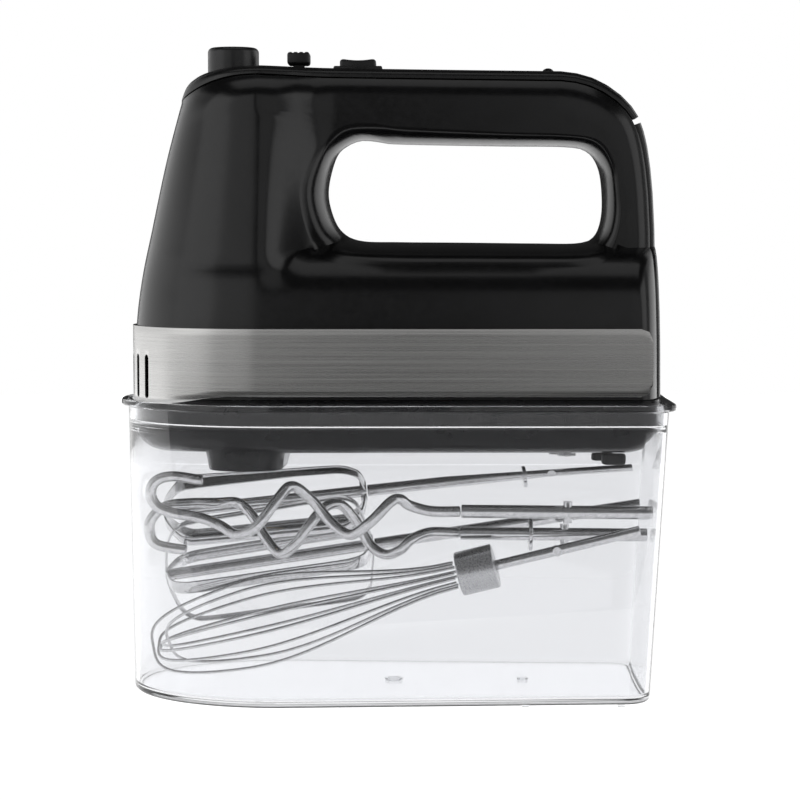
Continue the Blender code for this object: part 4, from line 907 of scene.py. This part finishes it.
def make_floor():
    """A glowing white sweep, so that the object throws no dark shadow on it."""
    floor = box("floor", (-1.6, -1.6, -0.004), (1.6, 1.6, -0.0002))
    look, _, _, shader = new_material("floor")
    shader.inputs["Base Color"].default_value = (0.25, 0.25, 0.25, 1)
    shader.inputs["Roughness"].default_value = 0.12
    shader.inputs["Emission Color"].default_value = (1, 1, 1, 1)
    shader.inputs["Emission Strength"].default_value = FLOOR_GLOW
    floor.data.materials.append(look)


def make_world():
    """White round the horizon, dimmer overhead and in front."""
    world = bpy.data.worlds.new("studio")
    world.use_nodes = True
    nodes, links = world.node_tree.nodes, world.node_tree.links
    place = nodes.new("ShaderNodeTexCoord")
    parts = nodes.new("ShaderNodeSeparateXYZ")
    links.new(place.outputs["Generated"], parts.inputs["Vector"])
    dimming = remap(nodes, links, parts.outputs["Z"], 1.0, OVERHEAD_GLOW, 0.20, 0.45)
    facing = remap(nodes, links, parts.outputs["Y"], FRONT_GLOW, 1.0, -0.6, -0.05)
    product = nodes.new("ShaderNodeMath")
    product.operation = "MULTIPLY"
    links.new(dimming, product.inputs[0])
    links.new(facing, product.inputs[1])
    links.new(product.outputs["Value"], nodes["Background"].inputs["Strength"])
    nodes["Background"].inputs["Color"].default_value = (1, 1, 1, 1)
    bpy.context.scene.world = world
    bpy.context.scene.view_settings.view_transform = "Standard"


def make_studio():
    make_camera()
    make_world()
    make_floor()
    for card in CARDS:
        grey_card(*card)
    for lamp in SOFTBOXES:
        softbox(*lamp)


# ---- the mixer's body


def make_housing(vents):
    """The two gloss halves, with the seam between them as a fine groove."""
    far = 0.150
    for side, sign in (("left", 1), ("right", -1)):
        half = mesh_object(
            f"shell_{side}", lambda bm: housing_skin(bm, (44, 44, 110), 9, 16, 9, 28)
        )
        if sign < 0:
            half.data.transform(Matrix.Diagonal((1, -1, 1, 1)))
            half.data.flip_normals()
        thicken(half, SHELL)
        middle, beyond = -sign * SPLIT, sign * 0.020
        cut(half, box("split", (-far, min(middle, beyond), 0.090), (far, max(middle, beyond), 0.260)))
        cut(half, copied(vents))
        show(half, "mixer", "gloss_black", "housing_" + side, sharp=38)


def copied(thing):
    made = thing.copy()
    made.data = thing.data.copy()
    bpy.context.scene.collection.objects.link(made)
    return made


def make_vents():
    """The seven upright air slots as one cutting shape."""
    half_height = (VENT_HIGH - VENT_LOW) / 2
    middle = (VENT_HIGH + VENT_LOW) / 2
    centre = BAND_TIP + VENT_RADIUS
    sides = 24
    rounded = [(VENT_WIDTH / 2 * math.cos(a), VENT_WIDTH / 2 * math.sin(a)) for a in turns(sides)]

    def fill(bm):
        for i in range(VENT_COUNT):
            turn = (i - VENT_COUNT // 2) * VENT_PITCH
            rings = []
            for out in (-0.008, 0.008):
                r = VENT_RADIUS + out
                ring = []
                for x, z in rounded:
                    z += math.copysign(half_height - VENT_WIDTH / 2, z)
                    ring.append(bm.verts.new((
                        centre - r * math.cos(turn) - x * math.sin(turn),
                        -r * math.sin(turn) + x * math.cos(turn), middle + z,
                    )))
                rings.append(ring)
            for k in range(sides):
                n = (k + 1) % sides
                bm.faces.new([rings[0][k], rings[0][n], rings[1][n], rings[1][k]])
            bm.faces.new(rings[0][::-1])
            bm.faces.new(rings[1])
        bmesh.ops.recalc_face_normals(bm, faces=bm.faces)

    return mesh_object("vents", fill)


def make_band(vents):
    """Brushed steel strip with its air slots."""
    levels = 10
    rows = []
    for x, y, normal in band_outline(64):
        into = min(BAND_CORNER, BAND_REAR - x)
        corner = BAND_CORNER - math.sqrt(max(0, BAND_CORNER ** 2 - (BAND_CORNER - into) ** 2))
        dip = BAND_DIP * smoothstep(-x, 0.062, 0.092)
        low, high = BAND_LOW - dip + corner, BAND_HIGH - corner
        out = GAP + BAND_THICKNESS
        px, py = x + normal[0] * out, y + normal[1] * out
        rows.append([(px, py, low + (high - low) * k / levels) for k in range(levels + 1)])
    band = thicken(skin("steel_band", rows, (0, 0, 0.133)), BAND_THICKNESS)
    cut(band, copied(vents))
    edges = band.modifiers.new("edges", "BEVEL")
    edges.width = 0.00012
    edges.segments = 2
    edges.angle_limit = math.radians(50)
    show(band, "mixer", "brushed_steel", "trim_band", sharp=40)


def cover_shell(name, stations, inset, thickness=0.0016, across=16):
    rows = [section_points(station, across, GAP, inset) for station in stations]
    return thicken(skin(name, rows, (0, 0, 0.180)), thickness)


def make_covers():
    strip = strip_stations(360)
    front = [s for s in strip if s[1][0] < NOTCH_X and s[1][1] > 0.225]
    rear = [s for s in strip if s[1][1] < 0.2262]
    top = cover_shell("top_cover_fine", nose_cap_stations(28) + front[::3] + [front[-1]], 0.0004)
    cut(top, slab("bezel", TURBO_X, 0.0096, 0.0080, 0.2462, 0.2482, 0.0006), "UNION")
    cut(top, slab("turbo_hole", TURBO_X, 0.0075, 0.0064, 0.230, 0.260, 0.0010))
    cut(top, cylinder("knob_hole", KNOB_R + 0.0004, (KNOB_X, 0, 0.230), (KNOB_X, 0, 0.260), 96))
    nub = mesh_object(
        "nub", lambda bm: bmesh.ops.create_uvsphere(bm, u_segments=32, v_segments=20, radius=1)
    )
    nub.data.transform(Matrix.Translation((0.0612, 0, 0.2458)) @ Matrix.Diagonal((0.0024, 0.0060, 0.0019, 1)))
    cut(top, nub, "UNION")
    slot_low = (SLIDER_X - SLIDER_TRAVEL - 0.0030, -0.0024, 0.230)
    cut(top, box("slider_slot", slot_low, (SLIDER_X + 0.0030, 0.0024, 0.260)))
    show(top, "mixer", "cover_black", "top_cover", sharp=38)
    back = cover_shell("rear_cover_fine", rear[::3] + [rear[-1]], 0.0024)
    cut(back, cylinder("inlet_hole", INLET_R, (0.098, 0, INLET_Z), (0.110, 0, INLET_Z)))
    show(back, "mixer", "cover_black", "rear_cover", sharp=38)


def make_pan():
    """The tray under the motor with the boss round the spindles."""
    steps = [(0.0110 * (1 - c), 0.0130 * (1 - s)) for c, s in quarter(12)]
    wall = 0.0020
    top = BODY_BOTTOM - GAP
    fine = {"nose_steps": 40, "corner_steps": 10}
    outer = [pan_ring(PAN_BOTTOM + up, inset, **fine) for up, inset in steps]
    outer += [pan_ring(z, 0.0, **fine) for z in (0.1125, 0.1150, top)]
    inner = [pan_ring(top, wall, **fine)]
    inner += [pan_ring(PAN_BOTTOM + up + wall, inset + wall, **fine) for up, inset in steps[::-1]]
    pan = loft("pan_fine", outer + inner)
    boss = loft("boss", [
        stadium_ring(z, half_x, half_x + 0.0204, 24) for z, half_x in (
            (0.0906, 0.0134), (0.0907, 0.0139), (0.0912, 0.0143), (PAN_BOTTOM + 0.0005, 0.0156),
            (0.1035, 0.0156),
        )
    ])
    cut(pan, boss, "UNION")
    for sign in (-1, 1):
        place = (SPINDLE_X, sign * SPINDLE_Y)
        cut(pan, cylinder("hole", 0.0087, (*place, 0.085), (*place, 0.110)))
    for x, y in BASE_SCREWS:
        cut(pan, cylinder("screw_hole", 0.0022, (x, y, 0.095), (x, y, 0.105), 24))
    show(pan, "mixer", "satin_black", "base_pan", sharp=35)


def make_case():
    """The clear case, with its rim, its seat for the base and its rounded floor."""
    rim_low = RIM_Z - RIM_THICKNESS
    flange, wall = -0.0026, CASE_WALL
    fine = {"nose_steps": 48, "corner_steps": 14}
    rounding = [(CASE_CORNER * (1 - c), CASE_CORNER * (1 - s)) for c, s in quarter(6)]
    steps = [(0.0, 0.0024)] + rounding
    steps += [(0.0300, 0.0), (0.0600, 0.0), (0.0900, 0.0), (rim_low - 0.0006, 0.0)]
    steps += [(rim_low - 0.0001, -0.0006), (rim_low, flange + 0.0004), (rim_low + 0.0003, flange)]
    steps += [(RIM_Z - 0.0007, flange), (RIM_Z - 0.0002, flange + 0.0002), (RIM_Z, flange + 0.0008)]
    steps += [(RIM_Z, wall - 0.0006), (RIM_Z - 0.0002, wall - 0.0001), (RIM_Z - 0.0010, wall)]
    steps += [(0.1092, wall), (0.1087, wall + LEDGE * 0.8), (0.1084, wall + LEDGE)]
    steps += [(0.1076, wall + LEDGE), (0.1070, wall + LEDGE * 0.6), (0.1064, wall)]
    steps += [(0.0900, wall), (0.0600, wall), (0.0300, wall)]
    steps += [(CASE_FLOOR + up, wall + inset) for up, inset in rounding[::-1]]
    steps.append((CASE_FLOOR, wall + 0.0024))
    case = loft("clear_case", [case_ring(z, inset, **fine) for z, inset in steps])
    show(case, "case", "clear_plastic", "storage_case", sharp=40)
    for name, x, outer in (("gate_mark", 0.0, 0.0036), ("second_mark", 0.0520, 0.0022)):
        ring = washer(name, outer, outer * 0.55, 0.0004, 0.0002, (x, 0, CASE_FLOOR + 0.0005), (0, 0, 1))
        show(ring, "case", "clear_plastic", sharp=50)
    for i, x in enumerate(FOOT_MARKS):
        mark = box(f"foot_mark_{i}", (x - 0.0014, -0.0434, 0.0001), (x + 0.0014, -0.0424, 0.0007), 0.0001)
        show(mark, "case", "clear_plastic", sharp=30)


# ---- controls


def make_controls():
    """The eject knob, the speed tab and the turbo key."""
    top, r = KNOB_TOP, KNOB_R
    profile = [(0.0, top - 0.0006), (0.0052, top - 0.0005), (0.0060, top - 0.0002), (0.0068, top)]
    edge = 0.0020
    profile += [(r - edge + edge * s, top - edge + edge * c) for c, s in quarter(8)[1:]]
    profile += [(r, 0.2480), (r, 0.2375), (0.0, 0.2375)]
    show(turned("knob", profile, (KNOB_X, 0, 0)), "eject_button", "control_black", "eject_button", sharp=40)
    tab = bake(slab("slider_tab", SLIDER_X, 0.00445, 0.0055, 0.2488, 0.2539, 0.0012, 5))
    for k in range(-1, 2):
        x = SLIDER_X + k * 0.0022
        cut(tab, cylinder("groove", 0.0006, (x, -0.008, 0.2541), (x, 0.008, 0.2541), 20))
    cut(tab, slab("stem", SLIDER_X, 0.0022, 0.0018, 0.2380, 0.2500), "UNION")
    cut(tab, slab("foot", SLIDER_X, 0.0050, 0.0045, 0.2369, 0.2392, 0.0002), "UNION")
    show(tab, "speed_slider", "control_black", "speed_slider", sharp=35)
    key = bake(slab("turbo_key", TURBO_X, 0.00715, 0.0060, 0.2400, 0.2510, 0.0012, 5))
    cut(key, cylinder("dish", 0.030, (TURBO_X, -0.02, 0.2805), (TURBO_X, 0.02, 0.2805), 160))
    show(key, "turbo_button", "control_black", "turbo_button", sharp=35)


# ---- attachments


def rounded_strip(profile, width, thickness, place):
    """A flat strip with rounded edges along an (along, out) profile, in place's frame."""
    points = [Vector((x, 0, out)) for x, out in profile]
    side = Vector((0, 1, 0))
    section = []
    half_w, half_t = width / 2 - thickness / 2, thickness / 2
    for t in turns(16):
        y = math.copysign(half_w, math.cos(t)) + half_t * math.cos(t)
        section.append((y, half_t * math.sin(t)))
    rings = []
    for i, point in enumerate(points):
        ahead = (points[min(i + 1, len(points) - 1)] - points[max(i - 1, 0)]).normalized()
        up = ahead.cross(side)
        rings.append([place @ (point + side * a + up * b) for a, b in section])
    return rings


def lugged_shaft(name, start, end, radius, across):
    """A round rod with softened ends and the pair of pressed ears that the spindle drives."""
    start, end = Vector(start), Vector(end)
    axis = (end - start).normalized()
    half = (end - start).length / 2
    edge = 0.0004
    soft = [(radius - edge + edge * s, half - edge + edge * c) for c, s in quarter(4)]
    profile = [(0.0, half)] + soft + [(r, -h) for r, h in soft[::-1]] + [(0.0, -half)]
    shaft = turned(name, profile, (start + end) / 2, axis, 40)
    middle = end - axis * LUG_FROM_END
    reach = Vector(across) * (radius + LUG_REACH)
    lug = cylinder("lug", LUG_R, middle - reach, middle + reach, 32)
    return cut(shaft, lug, "UNION")


def make_beater(number, head, tip, end, radius, twist):
    """A shaft with its drive lugs and end, and a cage of two crossed strips."""
    start = Vector(head) - (Vector(end) - Vector(head)).normalized() * 0.0004
    shaft = lugged_shaft(f"beater_{number}_shaft", start, end, BEATER_ROD, (0, 1, 0))
    show(shaft, f"beater_{number}", "bright_steel", f"beater_shaft_{number}", sharp=50)
    frame_there = frame_along(head, tip)
    reach = (Vector(tip) - Vector(head)).length
    cage = None
    for k in range(2):
        placed = frame_there @ Matrix.Rotation(math.radians(twist + 90 * k), 4, "X")
        profile = smooth_line(strip_loop(reach - k * STRIP_THICKNESS * 0.5, radius - 0.0002), 6)
        strip = loft(f"beater_{number}_cage", rounded_strip(profile, STRIP_WIDTH, STRIP_THICKNESS, placed))
        cage = strip if cage is None else cut(cage, strip, "UNION")
    hub_start, hub_end = frame_there @ Vector((0.0008, 0, 0)), frame_there @ Vector((0.0034, 0, 0))
    cut(cage, cylinder("hub", 0.0042, hub_start, hub_end, 40), "UNION")
    core_end = frame_there @ Vector((reach - 0.0002, 0, 0))
    cut(cage, cylinder("core", BEATER_ROD, hub_start, core_end, 40), "UNION")
    show(cage, f"beater_{number}", "bright_steel", f"beater_cage_{number}", sharp=35)


def washer(name, outer, inner, half, rounding, place, axis):
    """A ring with rounded edges."""
    profile = []
    corners = [(outer - rounding, half - rounding), (outer - rounding, rounding - half),
               (inner + rounding, rounding - half), (inner + rounding, half - rounding)]
    for corner, (r, h) in enumerate(corners):
        for k in range(5):
            turn = math.pi / 2 * (1 - corner - k / 4)
            profile.append((r + rounding * math.cos(turn), h + rounding * math.sin(turn)))
    return turned(name, profile, place, axis, 72, ring=True)


def make_attachments():
    for beater in BEATERS:
        make_beater(*beater)
    _, head, _, end, _, _ = BEATERS[0]
    axis = (Vector(end) - Vector(head)).normalized()
    place = Vector(head).lerp(Vector(end), 0.591)
    ring = washer("beater_ring", 0.0058, BEATER_ROD + GAP, 0.0008, 0.0005, place, axis)
    show(ring, "beater_1", "bright_steel", "beater_collar", sharp=50)
    for number, y, end_y, z, end_x, points in HOOKS:
        path = hook_path(y, end_y, HOOK_PEAKS[number - 1], points, 14)
        wire = tube(f"hook_{number}_wire", path, HOOK_WIRE, 24)
        show(wire, f"dough_hook_{number}", "bright_steel", f"hook_wire_{number}", sharp=50)
        start, end = (HOOK_SHAFT_START, y, z + 0.0002), (end_x, y, z - 0.0005)
        shaft = lugged_shaft(f"hook_{number}_shaft", start, end, HOOK_ROD, (0, 0, 1))
        show(shaft, f"dough_hook_{number}", "bright_steel", f"hook_shaft_{number}", sharp=50)
    _, y, _, z, _, _ = HOOKS[1]
    ring = washer("hook_ring", 0.0066, HOOK_ROD + GAP, 0.0008, 0.0005, (0.0540, y, z - 0.0002), (1, 0, 0))
    show(ring, "dough_hook_2", "bright_steel", "hook_collar", sharp=50)
    make_whisk()


def make_whisk():
    """A ferrule, its rod and the loops of wire; the fifth loop has no CAD node."""
    axis = (WHISK_END - WHISK_FERRULE).normalized()
    ferrule = washer("whisk_barrel", 0.0087, WHISK_ROD + GAP, 0.0075, 0.0008, WHISK_FERRULE, axis)
    show(ferrule, "whisk", "machined_steel", "whisk_ferrule", sharp=40)
    shaft = lugged_shaft("whisk_rod", WHISK_FERRULE - axis * 0.0070, WHISK_END, WHISK_ROD, (0, 1, 0))
    show(shaft, "whisk", "bright_steel", "whisk_shaft", sharp=50)
    start = WHISK_FERRULE - axis * 0.0087
    length = (start - WHISK_TIP).length
    frame_there = frame_along(start, WHISK_TIP)
    for i, turn_share in enumerate((0.0, 1.0, 2.0, 3.0, 1.5)):
        placed = frame_there @ Matrix.Rotation(math.pi * (turn_share + 0.35) / WHISK_LOOPS, 4, "X")
        reach = length - turn_share * 0.0022
        points = []
        steps = 140
        for k in range(steps + 1):
            turn = math.pi * k / steps
            out = math.cos(turn)
            far = math.sin(turn) ** 0.72
            neck = WHISK_NECK + (WHISK_RADIUS - WHISK_NECK) * smoothstep(far, 0.0, 0.72)
            points.append(placed @ Vector((reach * far, 0, math.copysign(neck * abs(out) ** 0.55, out))))
        wire = tube(f"whisk_loop_{i + 1}", points, WHISK_WIRE, 12)
        replaced = [f"whisk_wire_{i + 1}"] if i < WHISK_LOOPS else []
        show(wire, "whisk", "bright_steel", *replaced, sharp=60)


# ---- the parts kept from the CAD model


def dress_kept_nodes():
    """Every CAD node that still shows gets its slot's material and smooth shading, with edges over 35 degrees
    kept sharp.
    """
    slots = {part["node"]: part["material_slot"] for part in frame["record"]["subparts"]}
    for name, node in frame["nodes"].items():
        if node.hide_render:
            continue
        node.data.materials.clear()
        node.data.materials.append(LOOKS[slots[name]])
        node.data.shade_smooth()
        node.data.set_sharp_from_angle(angle=math.radians(35))


def main():
    make_studio()
    vents = make_vents()
    make_housing(vents)
    make_band(vents)
    bpy.data.objects.remove(vents)
    make_covers()
    make_pan()
    make_case()
    make_controls()
    make_attachments()
    dress_kept_nodes()


main()
